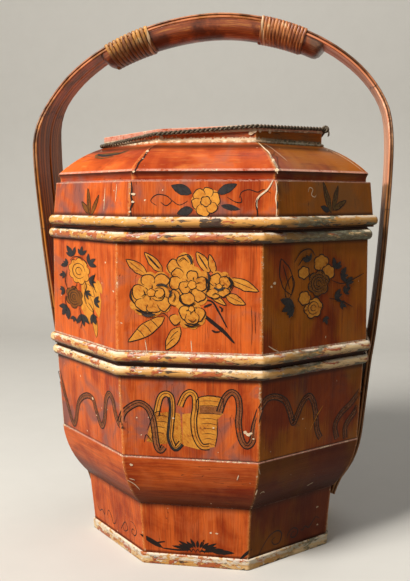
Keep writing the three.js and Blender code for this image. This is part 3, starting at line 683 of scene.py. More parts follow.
def mirrored(shapes):
    """The same shapes the other way round."""
    return [(kind, ([(-x, y) for x, y in points], [face[::-1] for face in faces]))
            for kind, (points, faces) in shapes]


def lay(paints, kind, shape, wall, side, proud):
    """Lays a flat shape on a side of a wall."""
    points, faces = shape
    held = paints.setdefault(kind, ([], []))
    start = len(held[0])
    held[0].extend(on_wall(wall, side, along, height, proud) for along, height in points)
    held[1].extend([start + i for i in face] for face in faces)


PAINT_STEP = 0.008


def lay_all(paints, shapes, wall, side, proud=PAINT_PROUD):
    """Lays shapes on a side, each a little over the one before."""
    for number, (kind, shape) in enumerate(shapes):
        lay(paints, kind, shape, wall, side, proud + PAINT_STEP * number)


def lay_round(paints, wall, front, left, right):
    """Lays three panels' shapes on the front of a tier, and the same the other way round behind."""
    for side, behind, shapes in ((FRONT, BACK, front), (FRONT_LEFT, BACK_RIGHT, left),
                                 (FRONT_RIGHT, BACK_LEFT, right)):
        lay_all(paints, shapes, wall, side)
        lay_all(paints, mirrored(shapes), wall, behind)


def finish_paints(name, paints, body):
    for kind, (points, faces) in paints.items():
        add_piece(f"{name}_{kind}", points, faces, PAINTS[kind], body, "lacquered_board")


RIBBON_WIDTH = 5.0
OUTLINE_WIDTH = 1.0
base_paints = {}


def ribbon(side, fill, *points):
    """A painted ribbon with a dark outline on both sides and a fine line along its middle."""
    lay(base_paints, fill, band(points, RIBBON_WIDTH), BODY_WALL, side, PAINT_PROUD)
    for offset, width in ((RIBBON_WIDTH / 2, OUTLINE_WIDTH), (-RIBBON_WIDTH / 2, OUTLINE_WIDTH), (0.4, 0.55)):
        lay(base_paints, "ink", band(points, width, offset), BODY_WALL, side, INK_PROUD)


ribbon(FRONT_LEFT, "brown", (-61, 164), (-50, 140), (-40, 120), (-35, 116), (-30, 122), (-21, 141),
       (-5, 150.5), (8.5, 150), (14, 140), (22, 128), (29, 135), (34, 154), (41, 161.5), (47, 157), (51, 144),
       (57, 137), (61.5, 139))
ribbon(FRONT, "brown", (-61, 140), (-57.6, 149.2), (-49.9, 155.8), (-43, 158.1), (-36.4, 154.3),
       (-32.5, 146.2), (-30.7, 135.3), (-29.2, 121.4), (-26, 116.3), (-22.5, 120))
shaded_strand = [(-29, 148), (-25.4, 163), (-20.6, 167.3), (-15.9, 164.8), (-14.8, 153.9), (-16.4, 138.8),
                 (-17, 127.7), (-12.7, 119), (-7.2, 124)]
ribbon(FRONT, "ochre", *shaded_strand)
lay(base_paints, "slate", band(shaded_strand[3:], 2.0, -1.4), BODY_WALL, FRONT, (PAINT_PROUD + INK_PROUD) / 2)
ribbon(FRONT, "ochre", (-8, 157), (-4, 166), (1, 169.5), (5, 166), (5.3, 156), (3.8, 145.2), (5, 131.6),
       (10.2, 122.2), (17, 122))
ribbon(FRONT, "brown", (26, 153), (30.5, 165.5), (36.4, 171), (41.6, 167), (43, 156.6), (42.2, 144.4),
       (44.2, 131), (48.7, 124.3), (54, 128.6), (56, 142.3), (60.5, 157))
ribbon(FRONT_RIGHT, "brown", (-60.5, 157), (-53.3, 165), (-43, 165.4), (-32.4, 159.7), (-26.5, 149),
       (-22, 139), (-18, 145), (-12, 156), (-5, 160.5), (0.5, 154.6), (4, 144), (7, 128), (12, 119))
ribbon(FRONT_RIGHT, "brown", (33, 114.5), (29.5, 127), (36, 137.5), (49, 146), (60.5, 157))
ribbon(FRONT_RIGHT, "brown", (44, 112.5), (43.2, 124.5), (52.3, 134.8), (57.8, 141.3))
drum = [("ochre", patch([(-38, 124), (-36, 134), (-30, 149), (-16, 152), (-8, 150), (-6, 124), (-26, 122)])),
        ("ochre", patch([(-6, 150), (6, 152), (8, 165.5), (18, 167), (27.5, 166), (29, 152), (25, 147),
                        (24, 133), (22, 122), (8, 119), (-6, 122)])),
        ("brown", patch([(9, 151), (9, 158), (28, 158), (28, 151)]))]
for left, right, level in ((9, 27, 166), (9, 28, 162), (8, 28, 158), (8, 28, 151), (10, 24, 146.5),
                           (10, 24, 142), (11, 23, 137.5), (11, 23, 133), (12, 22, 128.5), (12, 22, 124),
                           (-35, -26, 127), (-34, -22, 132), (-32, -20, 137), (-30, -18, 142),
                           (-29, -18, 147)):
    drum += strokes("ink", 0.45, [(left, level), ((left + right) / 2, level + 0.8), (right, level - 0.4)])
drum += strokes("ink", 0.8, [(-40, 123), (-38, 130), (-33, 124)], [(7, 150), (8, 165), (28, 166), (29, 152)],
                [(-37, 134), (-31, 149), (-24, 152)], [(24, 147), (24, 133), (22, 122)])
drum_paints = {}
lay_all(drum_paints, drum, BODY_WALL, FRONT, 0.0)
finish_paints("base_drum", drum_paints, "base")
WAVE_HALF, WAVE_END, WAVE_LEVEL, WAVE_SWING, WAVE_STEPS = 61, 150, 141, 19, 8
for side in (RIGHT, BACK_RIGHT, BACK, BACK_LEFT, LEFT):
    wave = [(WAVE_HALF * (2 * i / WAVE_STEPS - 1), WAVE_LEVEL + WAVE_SWING * math.sin(i * math.pi / 2 + side))
            for i in range(1, WAVE_STEPS)]
    ribbon(side, "brown", (-WAVE_HALF, WAVE_END), *wave, (WAVE_HALF, WAVE_END))
front_chips = several(chip, (48, 136.5, 2.0), (50.5, 134.5, 2.4), (53, 135.8, 1.8), (21, 139, 1.1),
                      (55, 131, 1.0), (-14, 146, 1.2))
lay_all(base_paints, front_chips, BODY_WALL, FRONT, 0.3)
lay_all(base_paints, several(chip, (8.7, 150.5, 1.8), (14.1, 135.7, 1.0), (-7.2, 115.8, 1.0)), BODY_WALL,
        FRONT_LEFT, 0.3)
lay_all(base_paints, strokes("gold", 0.6, [(-2, 128), (6, 141), (13, 149)]), BODY_WALL, FRONT_RIGHT, 0.3)
finish_paints("base_ribbon", base_paints, "base")

# The foot's brushwork
# A grass sprig is brushed in ink low on the front of the foot, with thin scrolls on the sides by it.
# Each is done with a few turns of a loaded brush, and the same are repeated behind.
sprig = several(leaf, ((-30, 15.2), (-52, 28), 5.0, "ink", 0), ((14, 15.5), (36, 15.2), 5.0, "ink", 0))
sprig += strokes("ink", 1.8, [(-31, 15.2), (-16, 14.4), (-4, 15.4)], [(4, 14.5), (12, 15), (18, 15.4)],
                 [(-38, 17.5), (-34, 20.5), (-28, 21.8)])
for blade in range(11):
    lean = math.radians(14 + 15.2 * blade)
    near, far = 6.0, 14.0 if blade % 2 else 17.0
    sprig += leaf((2 + near * math.cos(lean) * 1.3, 15.5 + near * 0.4 * math.sin(lean)),
                  (2 + far * math.cos(lean) * 1.45, 15.5 + far * 0.68 * math.sin(lean)), 3.0, "ink", 0)
for hook in range(5):
    sprig += strokes("ink", 0.8, [(-8 + 4 * hook, 13), (-6 + 4 * hook, 16.5), (-4 + 4 * hook, 13.4)])
scrolls_right = strokes("ink", 1.1, [(-36, 11), (-31, 19), (-24, 27), (-15, 29.5), (-9.6, 24.9), (-11.7, 17),
                                     (-18, 16.5), (-21, 21), (-17, 24)],
                        [(-3, 18), (-0.9, 24), (5, 27), (10.8, 23), (8, 17.5), (2.5, 18.5), (3.5, 23),
                         (7, 22.5)],
                        [(14, 24), (16.5, 21.6), (20, 25), (24.1, 22.4), (28, 26), (33, 31), (38, 28)])
scrolls_right += leaf((-58, 13), (-44, 19.5), 4.0, "ink", 0)
scrolls_left = strokes("ink", 1.0, [(-40, 27), (-36, 22), (-30, 25), (-26, 21), (-24, 29)],
                       [(-20, 22), (-16, 29), (-11, 24), (-9, 18), (-4, 20), (-1, 27)],
                       [(6, 17), (11, 23), (16.5, 28), (20, 22), (14, 18), (11, 21)],
                       [(27, 32.4), (33, 32), (37, 26), (33, 20), (28, 22), (30, 26), (34, 25)])
foot_paints = {}
lay_round(foot_paints, FOOT_WALL, sprig, scrolls_left, scrolls_right)
lay_all(foot_paints, several(chip, (14.2, 33.5, 1.4), (19.8, 33.2, 1.4)), FOOT_WALL, FRONT)
finish_paints("foot_sprig", foot_paints, "base")
cove_paints = {}
front_scratches = strokes("gesso", 0.9, [(-57, 86), (-51, 82), (-47, 76)], [(-55, 88), (-50, 86.5)],
                          [(40.7, 92.7), (42.3, 97.7)], [(56, 78), (58, 84)])
lay_all(cove_paints, front_scratches + chip(-51.9, 101.8, 1.8), COVE_WALL, FRONT, 0.45)
right_scratches = strokes("gesso", 0.8, [(-50.7, 77.9), (-48, 79.5), (-45.6, 78.2)],
                          [(8.5, 71), (15.1, 73.6)], [(-60, 106), (-57, 99)])
lay_all(cove_paints, right_scratches, COVE_WALL, FRONT_RIGHT, 0.45)
finish_paints("cove_scratch", cove_paints, "base")

# The tray's walls
# Eight thin boards with upright grain make the tray, mitred and glued like the base's walls.
# The lacquer is brighter here, and the front carries the largest painted spray.
TRAY_WALL = wall_of("tray_board_right")
TRAY_FOOT, TRAY_TOP = TRAY_WALL["foot"], TRAY_WALL["top"]
# A painted pink highlight runs along them just above the lower bead
# Painted shade, mixed with grime, darkens the walls at their foot and top and just under the top bead
tray_lacquer = lacquer("tray_lacquer", bloom=0.5, highlit_and_rubbed_at=[(TRAY_FOOT + 11.2, 1.1, 1.1)],
                       grimy_and_shaded_at=[(TRAY_TOP - 11.0, 4.0), (TRAY_FOOT, 5.0), (TRAY_FOOT, 6.0), (TRAY_TOP, 6.0),
                                 (TRAY_TOP, 9.0)])
finish_tier("tray", TRAY_WALL, tray_lacquer, "tray", 0.4)
ease("tray_floor", inside, 0.4)

# The tray's sprays
# Flowers and leaves are brushed on the panels in ochre and drawn round in ink, the fullest at the front.
# The paint is thin, and it has darkened with the varnish on the right.
front_spray = []
for root, tip, width, vein in (((-35, 269), (-53, 282), 8.5, 0.5), ((-22, 272), (-37, 288), 8, 1.6),
                               ((18, 272), (7, 289), 9, 1.2), ((22, 271), (18, 287), 6, 0),
                               ((34, 267), (59, 257), 8.5, 0.6), ((31, 254), (48, 246), 8, 0.5),
                               ((16, 256), (32, 245), 5.5, 0.4), ((-20, 234), (-52, 212), 11, 0),
                               ((-7, 226), (-19, 206), 10, 0)):
    front_spray += leaf(root, tip, width, ink=0.9, vein=vein)
for along, height, lean in ((-29, 228, -1), (-35, 224, -1), (-41, 220, -1), (-12, 219, 1), (-15, 213, 1)):
    front_spray += strokes("ink", 0.7, [(along - 3.4, height - 3.4 * lean), (along, height + 0.8),
                                        (along + 3.4, height + 3.4 * lean)])
front_spray += strokes("ink", 3.4, [(10, 239), (20, 231), (30, 223), (39, 213.5)])
front_spray += strokes("ink", 1.7, [(11, 249), (20, 248), (26, 239), (33, 226)],
                       [(13, 231), (9, 229), (5, 228)], [(20, 224), (23, 222.5), (27, 223)],
                       [(26, 244), (28.5, 242), (28, 239.5)], [(13, 243), (20, 246)])
for notches in ([(-17, 271), (-16, 279), (-10, 283), (-7, 277), (-9, 272)],
                [(-8, 276), (-8, 285), (0, 287), (4, 281), (2, 274), (-5, 272)],
                [(-4, 242), (4, 246), (11, 241), (14, 233), (9, 228), (0, 226), (-7, 229), (-8, 236)],
                [(18, 264), (20, 270), (28, 272), (35, 269), (36, 262), (33, 256), (24, 253), (18, 257)],
                [(-42, 260), (-38, 268), (-28, 270), (-17, 268), (-13, 260), (-15, 252), (-15, 244),
                 (-23, 238), (-36, 237), (-46, 239), (-49, 247), (-47, 254)],
                [(-17, 260), (-16, 268), (-9, 274), (1, 275), (11, 273), (18, 267), (19, 260), (16, 252),
                 (9, 245), (-1, 243), (-11, 244), (-16, 252)]):
    front_spray += lobed(notches, ink=0)
front_hearts = [(-31.5, 254.5), (3.5, 261.5), (26, 260.5), (3, 241.5)]
for middle, wide, tall in (((-13, 277), 4.8, 6.0), ((-3, 281), 6.2, 6.2), ((-42, 254.5), 6.6, 6.4),
                           ((-38.5, 244), 6.8, 5.6), ((-29.5, 241.5), 6.0, 4.4), ((-34.5, 265), 5.8, 5.2),
                           ((-22, 265.5), 6.4, 4.8), ((-20.5, 245), 5.4, 6.2), ((-25, 253), 6.0, 5.4),
                           ((-9, 271), 5.0, 4.4), ((3.5, 269.5), 4.6, 4.4), ((-11, 263), 5.4, 5.4),
                           ((11, 262.5), 5.4, 5.8), ((-12, 250.5), 4.8, 6.8), ((9.5, 252), 5.4, 4.8),
                           ((-1, 250), 6.4, 5.4), ((-3, 259), 5.2, 5.0), ((23, 266.5), 5.6, 5.2),
                           ((31, 264), 5.0, 5.4), ((21.5, 254.5), 6.0, 4.4), ((30, 256), 4.8, 3.8),
                           ((-11.5, 232), 4.6, 4.6), ((-2.5, 238), 5.2, 6.0), ((10, 237), 4.6, 5.4),
                           ((3.5, 233.5), 6.0, 5.8)):
    front_spray += petal(middle, wide, tall, min(front_hearts, key=lambda heart: math.dist(heart, middle)))
for middle, radius in zip(front_hearts, (3.2, 3.4, 2.4, 2.4)):
    front_spray += bloom(middle, radius, 5, "gold", 0.7, ())
    for angle in range(20, 380, 60):
        reach = Vector((math.cos(math.radians(angle)), math.sin(math.radians(angle)))) * radius
        front_spray += strokes("ink", 0.7, [tuple(Vector(middle) + reach * far) for far in (1.2, 1.6, 2.0)])
front_spray += strokes("slate", 2.2, [(-1, 286), (2, 283.5), (3.2, 279)], [(16.5, 272), (18, 268), (17, 264)],
                       [(-27, 260.5), (-22, 261.5), (-17, 259.5)], [(22, 260), (26, 257.8), (31, 260)],
                       [(-40, 236.5), (-34, 234.8), (-28, 236.5)], [(-16, 257), (-14.5, 254), (-16, 251)])
front_spray += strokes("ink", 1.7, [(-48, 258), (-49.5, 251), (-46, 245)],
                       [(-45, 240), (-38, 237.6), (-30, 237)], [(-7, 253), (-5, 246.5), (1, 244.4), (6, 247)],
                       [(-3, 228.5), (3, 226.8), (10, 229)], [(34, 269), (37, 264), (35, 258)],
                       [(15, 268), (17.4, 262), (16, 256)])
front_spray += strokes("ink", 0.8, [(-26, 250), (-22, 251), (-20, 254)], [(-13, 247), (-11, 251), (-12, 255)],
                       [(0, 233), (4, 230.5), (7, 233)], [(20, 253), (23, 255), (25, 254)],
                       [(-8, 281), (-4, 284), (0, 281)], [(-40, 251), (-37, 253), (-38, 257)],
                       [(-17, 234), (-20, 237), (-25, 236)])


def stretched(shapes, share):
    """The same shapes, drawn wider along the side."""
    return [(kind, ([(x * share, y) for x, y in points], faces)) for kind, (points, faces) in shapes]


left_spray = several(leaf, ((2, 264), (7, 221), 13, "gold", 0), ((11, 262), (17, 228), 10, "gold", 0),
                     ((12, 230), (14, 210), 5, "ochre", 0.4), ((15, 262), (20, 250), 5, "ochre", 0),
                     ((2, 256), (12, 246), 8, "gold", 0.4), ((2, 248), (11, 232), 8, "gold", 0.4),
                     ((-1, 240), (5, 226), 7, "gold", 0), ((13, 246), (18, 236), 6, "gold", 0))
left_spray += several(bloom, ((-4.5, 267), 11, 9, "gold", 0.6, (7.0, 3.4)),
                      ((-10, 242), 9, 6, "dusk", 0.7, (7.0, 4.6, 2.2)))
left_spray += several(tuft, ((-11, 280), 120, 10), ((-2, 282), 80, 8), ((6, 275), 40, 9),
                      ((-17, 272), 160, 8), ((-20, 262), 190, 7), ((7, 260), 0, 8), ((3, 249), -20, 7),
                      ((12, 242), 10, 8), ((-18, 232), 230, 11), ((-1, 228), 280, 11), ((-10, 224), 265, 7),
                      ((10, 230), -60, 8), ((-21, 248), 200, 7))
left_spray += strokes("ink", 0.7, [(-6, 256), (-9, 250), (-12, 251)],
                      [(2, 260), (4, 254), (2, 246), (4, 238)], [(-4, 234), (-1, 222), (-3, 214)],
                      [(6, 240), (11, 234), (12, 226)],
                      [(-18, 266), (-20, 256), (-17, 248)], [(-14, 276), (-8, 280), (0, 279), (7, 272)],
                      [(14, 268), (11, 258), (15, 250)], [(-19, 244), (-20, 236), (-16, 228)])
left_spray = stretched(left_spray, 1.8)
right_spray = several(leaf, ((-26, 252), (-36, 283), 12, None, 1.0, 0.8),
                      ((-30, 248), (-26, 268), 7, None, 0.7))
for middle, radius, rings in (((-14, 270), 5, ()), ((4, 277), 7, ()), ((11, 269), 6, ()),
                              ((-4, 239), 8.5, (5.5, 2.6)), ((-13, 248), 5.5, ()),
                              ((1, 260), 10, (7.6, 5.2, 2.6))):
    right_spray += bloom(middle, radius, 6, "dusk" if radius > 9 else "ochre", 1.1, rings)
right_spray += several(tuft, ((18, 272), 50, 9), ((24, 264), 15, 9), ((18, 246), 10, 9), ((28, 250), 30, 8),
                       ((24, 240), -20, 8), ((-24, 244), 205, 12), ((-26, 240), 230, 9), ((8, 230), -70, 7),
                       ((-8, 280), 120, 8), ((30, 258), 0, 8))
right_spray += strokes("ink", 1.0, [(-24, 279), (-17, 288), (-8, 290), (-3, 284)],
                       [(-20, 276), (-14, 283), (-8, 281)], [(14, 262), (26, 258), (40, 262), (50, 266)],
                       [(12, 246), (24, 243), (38, 236)])
right_spray = stretched(right_spray, 1.15)
tray_paints = {}
lay_round(tray_paints, TRAY_WALL, front_spray, left_spray, right_spray)
lay_all(tray_paints, crack([(-54.8, 211), (-49, 207.5), (-43.2, 204.8)], 0.9, 0) + chip(-48.5, 263, 1.8),
        TRAY_WALL, FRONT_RIGHT)
tray_scratches = strokes("gesso", 0.6, [(-37.2, 214), (-35.5, 204.5)], [(2.4, 215), (3.2, 205)])
tray_scratches += strokes("ink", 0.4, [(52.5, 246), (53.6, 230), (53.4, 212)], [(56, 240), (56.4, 222)])
lay_all(tray_paints, tray_scratches, TRAY_WALL, FRONT, 0.3)
finish_paints("tray_spray", tray_paints, "tray")

# The tray's beads and lip
# Half-round beads of split cane run round the tray at its foot and its rim, and a lip stands up inside.
# The upper bead keeps more of its lacquer than the lower one.
dress_bead("tray_bottom_bead", red=0.45, dark=0.25, chalky=0.5, dull=0.2, golden=0.04)
dress_bead("tray_top_bead", red=0.5, dark=0.3, chalky=0.6, dull=1.1, golden=0.1)
ease("tray_lip", inside, 0.4)

# The lid's bead
# A half-round cane is bent round the foot of the lid and covers the joint with the tray.
# Most of its lacquer is gone, and cream gesso and bare ochre cane show round a dark stain at the front.
far_corner = max(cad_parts["lid_wall"].data.vertices, key=lambda v: v.co.xy.length).co
LID_TURN = (math.atan2(far_corner.y, far_corner.x) % SIDE_ANGLE) - HALF_SIDE
LID_STAIN = 8.0 - math.pi / 2 * CANE_RADIUS
dress_bead("lid_bead", LID_TURN, red=0.0, dark=0.25, chalky=0.5, dull=0.2, golden=0.2, stain_at=LID_STAIN)

# The lid's walls
# A ring of eight mitred boards leans in a little above the bead, with its grain upright.
# The lacquer has bleached to a purplish brown in places, and is rubbed off along the upper edge, where a
# painted pink highlight runs.
LID_WALL = wall_of("lid_wall", LID_TURN)
LID_FOOT = LID_WALL["foot"]
# Painted shade, mixed with grime, darkens the walls just above the bead
lid_lacquer = lacquer("lid_wall_lacquer", LID_TURN, redness=0.3, bloom=2.4, ochre=0.18,
                      highlit_and_rubbed_at=[(LID_WALL["top"], 1.3, 0.7)],
                      grimy_and_shaded_at=[(LID_FOOT + 11.5, 3.0), (LID_FOOT, 5.0)])
ease("lid_wall", lid_lacquer, 0.4)
corner_lacquer("lid_wall_corners", LID_WALL, lid_lacquer, "lid")
lid_flower = several(leaf, ((-9, 337), (-26, 343.5), 8, "slate", 0.5),
                     ((12, 337), (28, 344.5), 7, "slate", 0.5), ((-8, 324), (-21, 320.5), 7, "slate", 0.5),
                     ((15, 327), (31, 324), 5, "slate", 0))
lid_flower += strokes("ink", 0.8, [(-12, 331), (-19, 327.5), (-25, 331), (-30, 335), (-38, 336), (-43, 331),
                                   (-38, 327)],
                      [(-25, 331), (-30, 327), (-35, 330)], [(20, 334), (27, 330), (32, 330), (31, 335)],
                      [(30, 333), (32, 338), (38, 340), (45, 338), (50, 340), (56, 337)])
HEART = (2.5, 330.5)
lid_flower += bloom(HEART, 11.0, 8, "gold", 0, ())
for angle, size in zip(range(15, 375, 60), (5.4, 4.2, 5.0, 4.6, 5.6, 4.4)):
    lean = math.radians(angle)
    middle = (HEART[0] + 7.6 * math.cos(lean), HEART[1] + 7.6 * math.sin(lean))
    lid_flower += petal(middle, size, size, HEART, "gold", 0.8)
lid_flower += bloom(HEART, 4.0, 5, "ochre", 1.0, ())
grass = several(leaf, ((2, 318), (-4, 342), 6, "dusk", 0.8), ((4, 318), (15, 336), 5, "dusk", 0.8),
                ((0, 320), (-13, 330), 5, "dusk", 0.8))
grass += strokes("ink", 0.6, [(1, 320), (-2, 330), (-3, 338)])
reeds = several(leaf, ((4, 320), (-4, 347), 6, "olive", 0.8, 0.5),
                ((6, 322), (15, 344), 5, "olive", 0.8, 0.5), ((7, 323), (25, 331), 5, "olive", 0.8),
                ((2, 322), (-9, 326), 5, "slate", 0.5))
reeds += strokes("gesso", 0.8, [(-24, 338), (-22, 342), (-18, 340.5), (-20, 336), (-16, 334), (-14, 336)])
lid_paints = {}
lay_round(lid_paints, LID_WALL, lid_flower, grass, reeds)
worn_corners = crack([(-59.4, 347), (-58.8, 340.5), (-59.4, 334.7), (-58.2, 329), (-59.8, 324), (-59, 316.3)],
                     0.9, 1.5)
worn_corners += several(chip, (-57.5, 336.5, 2.0), (-58, 330, 1.6), (-60.4, 322, 1.2))
worn_corners += several(crack,
                        ([(57.6, 348), (53.2, 340.4), (46.4, 334.7), (44.2, 330.2), (44.8, 324.5)], 1.5, 0),
                        ([(45, 333), (43.8, 328), (44.8, 322.5), (45, 317)], 0, 1.0),
                        ([(59.6, 347), (60.6, 340), (59.8, 333), (60.8, 326), (60.2, 317)], 1.0, 0),
                        ([(61.2, 345), (61.4, 337)], 0, 0.9), ([(61.3, 331), (61.0, 324)], 0, 0.9))
lay_all(lid_paints, worn_corners, LID_WALL, FRONT, 0.55)
lay_all(lid_paints, strokes("gesso", 0.7, [(42, 345), (41.8, 330)], [(24.3, 343), (24.6, 322)]), LID_WALL,
        FRONT_LEFT, 0.3)
finish_paints("lid_spray", lid_paints, "lid")

# The lid's shoulder
# A narrow hollow moulding, glued on the walls' upper edge, carries the roof's eaves.
# Painted shade, mixed with grime, darkens it under the eaves, and a painted pink highlight and pale gesso
# show along its lower edge.
SHOULDER = wall_of("lid_shoulder", LID_TURN)
shoulder_lacquer = lacquer("shoulder_lacquer", LID_TURN, lying=True, redness=1.6, bloom=0.8,
                           highlit_and_rubbed_at=[(SHOULDER["foot"], 0.8, 0.7)], grimy_and_shaded_at=[(SHOULDER["top"], 5.0)])
ease("lid_shoulder", shoulder_lacquer, 0.3)

# The lid's roof
# Eight boards with lying grain, planed to a low curve, close in to the collar.
# Their lower edge is worn through to the gesso under a painted pink highlight, and they are painted darker
# just under the collar, grime mixed with painted shade.
ROOF = wall_of("roof_board_right", LID_TURN)
ROOF_TOP = ROOF["top"]
roof_lacquer = lacquer("roof_lacquer", LID_TURN, lying=True, redness=0.5, bloom=0.5,
                       highlit_and_rubbed_at=[(ROOF["foot"] + 1.0, 1.3, 0.75)], grimy_and_shaded_at=[(ROOF_TOP - 4.0, 4.0)])
finish_tier("roof", ROOF, roof_lacquer, "lid", 0.5)
roof_marks = {}
roof_cracks = crack([(-47, 376), (-50, 371), (-51.2, 367.3), (-54.5, 362.2), (-55.5, 358.2), (-58.5, 352.6)],
                    0.8, 1.4)
roof_cracks += several(chip, (-49.5, 373, 1.5), (-57.5, 355, 1.4))
roof_cracks += several(crack, ([(44.5, 381), (49.5, 375.5), (54, 371), (56, 366)], 0.9, 0),
                       ([(53.5, 371), (57, 365), (60.3, 358.8), (61, 352.6)], 1.3, 0.6))
roof_cracks += several(chip, (60.2, 356, 2.2), (57.5, 364.5, 1.3))
lay_all(roof_marks, roof_cracks, ROOF, FRONT, 0.55)
lay_all(roof_marks, several(crack, ([(40.5, 380.4), (45.5, 372), (50.5, 364), (54.5, 357)], 0.9, 0),
                            ([(-36, 380), (-38, 372), (-37, 364)], 0.6, 0)), ROOF, FRONT_RIGHT, 0.3)
scar = patch([(-31, 373), (-27, 377), (-8, 374), (10, 375.5), (20, 379), (19, 374), (6, 370), (-9, 368.5),
              (-24, 370)])
lay(roof_marks, "olive", scar, ROOF, FRONT_LEFT, 0.15)
lay_all(roof_marks, strokes("slate", 2.0, [(-29, 374), (-12, 371.5), (6, 372.5), (17, 376)]), ROOF,
        FRONT_LEFT, 0.2)
finish_paints("roof_mark", roof_marks, "lid")

# The collar and the top board
# A low eight-sided collar with a proud band stands on the roof, round a sunk top board.
# The hands that lift the lid have rubbed both, and gesso fills the joint at the collar's foot.
COLLAR_LEAN = 0.038
COLLAR = wall_of("lid_collar", LID_TURN, COLLAR_LEAN)
COLLAR_TOP = COLLAR["top"]
# A painted pink highlight, with rubbing to the gesso, runs along the collar's top and the edges of its band
collar_lacquer = lacquer("collar_lacquer", LID_TURN, lying=True, redness=-0.2, bloom=0.9, ochre=0.2,
                         lean=COLLAR_LEAN, bare_below=ROOF_TOP + 4.0,
                         highlit_and_rubbed_at=[(COLLAR_TOP, 1.2, 1.4), (COLLAR_TOP - 5.5, 0.9, 1.2),
                                  (COLLAR_TOP - 3.0, 3.5, 0.8)])
ease("lid_collar", collar_lacquer, 0.4)
gesso_finish, gesso_place = new_finish("collar_gesso")
gesso_lumps = gesso_place.noise(0.22, 5.0, 0.7)
gesso_green = gesso_place.split()[0].rise(40.0, 75.0) * (0.4 + gesso_lumps)
gesso_base = gesso_lumps.rise(0.42, 0.62).between("b98a62", "ecdcba")
gesso_base = (gesso_green * 0.9).between(gesso_base, gesso_lumps.rise(0.4, 0.6).between("5f5c4c", "a5a791"))
dress(gesso_finish, gesso_base, 0.7 + gesso_lumps * 0.2, gesso_lumps, 0.5, 0.3)


def round_section(thickness, sides):
    return [(thickness / 2 * math.cos(i * math.tau / sides), thickness / 2 * math.sin(i * math.tau / sides))
            for i in range(sides)]


FILLET_STEPS = 14
FILLET_SIDES = 7
COLLAR_FACE = ROOF["line"][-1][1] - 0.3
fillet_half = (COLLAR_FACE + 0.8) * math.tan(HALF_SIDE)
fillet = []
for side in range(SIDES):
    out, aside = directions(side * SIDE_ANGLE + LID_TURN)
    for step in range(FILLET_STEPS):
        along = fillet_half * (2 * step / FILLET_STEPS - 1)
        middle = out * (COLLAR_FACE + 0.3) + aside * along + UP * (ROOF_TOP + 0.4)
        lump = round_section(2 * hand.uniform(1.2, 1.9), FILLET_SIDES)
        fillet.append([middle + out * (deep * 1.15) + UP * high for deep, high in lump])
fillet_points, fillet_faces = tube(fillet, True)
# Each face is turned over, because these rings run the other way round
fillet_faces = [[a, d, c, b] for a, b, c, d in fillet_faces]
add_piece("collar_gesso", fillet_points, fillet_faces, gesso_finish, "lid", "lacquered_board")
collar_marks = {}
front_marks = several(chip, (-41, COLLAR_TOP - 5.5, 3.0), (-40, COLLAR_TOP - 8, 2.2),
                      (41, COLLAR_TOP - 6, 3.0), (38, COLLAR_TOP - 8, 2.4))
right_marks = several(chip, (-39, COLLAR_TOP - 6, 2.6), (-27, COLLAR_TOP - 7, 2.0),
                      (-27.5, COLLAR_TOP - 5, 1.8), (36, COLLAR_TOP - 5, 2.0))
lay_all(collar_marks, front_marks, COLLAR, FRONT, 0.3)
lay_all(collar_marks, right_marks, COLLAR, FRONT_RIGHT, 0.3)
finish_paints("collar_chip", collar_marks, "lid")
ease("lid_top_board", grained_lacquer("top_lacquer", "8a2c12", "cc5a28", "b0602e"), 0.4)

# The cord round the collar
# A dark rope of two twisted strands is tied round the collar's band, to hold the lid's mitres shut.
# It has slipped down to the roof at one corner, and its knotted end has frayed.
CORD_THICKNESS = 4.0
STRANDS = 2
STRAND_THICKNESS = 2.1
STRAND_OFFSET = 0.46 * STRAND_THICKNESS
STRAND_SIDES = 7
CORD_TWIST = 8.4
CORD_BEND = 4.5
CORD_STEP = 1.1
CORNER_STEPS = 6
STRAIGHT_STEPS = 12
BY_THE_CORNER = 0.9998


def cord_route():
    """The rope's middle line: small arcs round the corners, each at the height that its solid has there."""
    cord_marks = [vertex.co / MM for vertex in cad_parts["collar_cord"].data.vertices]
    reach = max(distance for _, distance in wall_of("collar_cord", LID_TURN)["line"]) - CORD_THICKNESS / 2
    route = []
    for corner in range(SIDES):
        facing = directions((corner + 0.5) * SIDE_ANGLE + LID_TURN)[0]
        near = [mark.z for mark in cord_marks if mark.xy.normalized().dot(facing.xy) > BY_THE_CORNER]
        pivot = facing * (reach - CORD_BEND) / math.cos(HALF_SIDE) + UP * ((max(near) + min(near)) / 2)
        for step in range(CORNER_STEPS + 1):
            around = (corner + step / CORNER_STEPS) * SIDE_ANGLE + LID_TURN
            route.append(pivot + directions(around)[0] * CORD_BEND)
    filled = []
    for here, there in zip(route, route[1:] + route[:1]):
        steps = STRAIGHT_STEPS if (there - here).length > CORD_TWIST else 1
        filled += [here.lerp(there, i / steps) for i in range(steps)]
    return filled


def running_lengths(line):
    """How far along a line each of its points lies."""
    lengths = [0.0]
    for here, there in zip(line, line[1:]):
        lengths.append(lengths[-1] + (there - here).length)
    return lengths


def segment_at(lengths, wanted):
    """Which stretch of a line a length falls in, and the share of it that is passed."""
    place = max(i for i, reached in enumerate(lengths[:-1]) if reached <= wanted)
    return place, (wanted - lengths[place]) / (lengths[place + 1] - lengths[place])


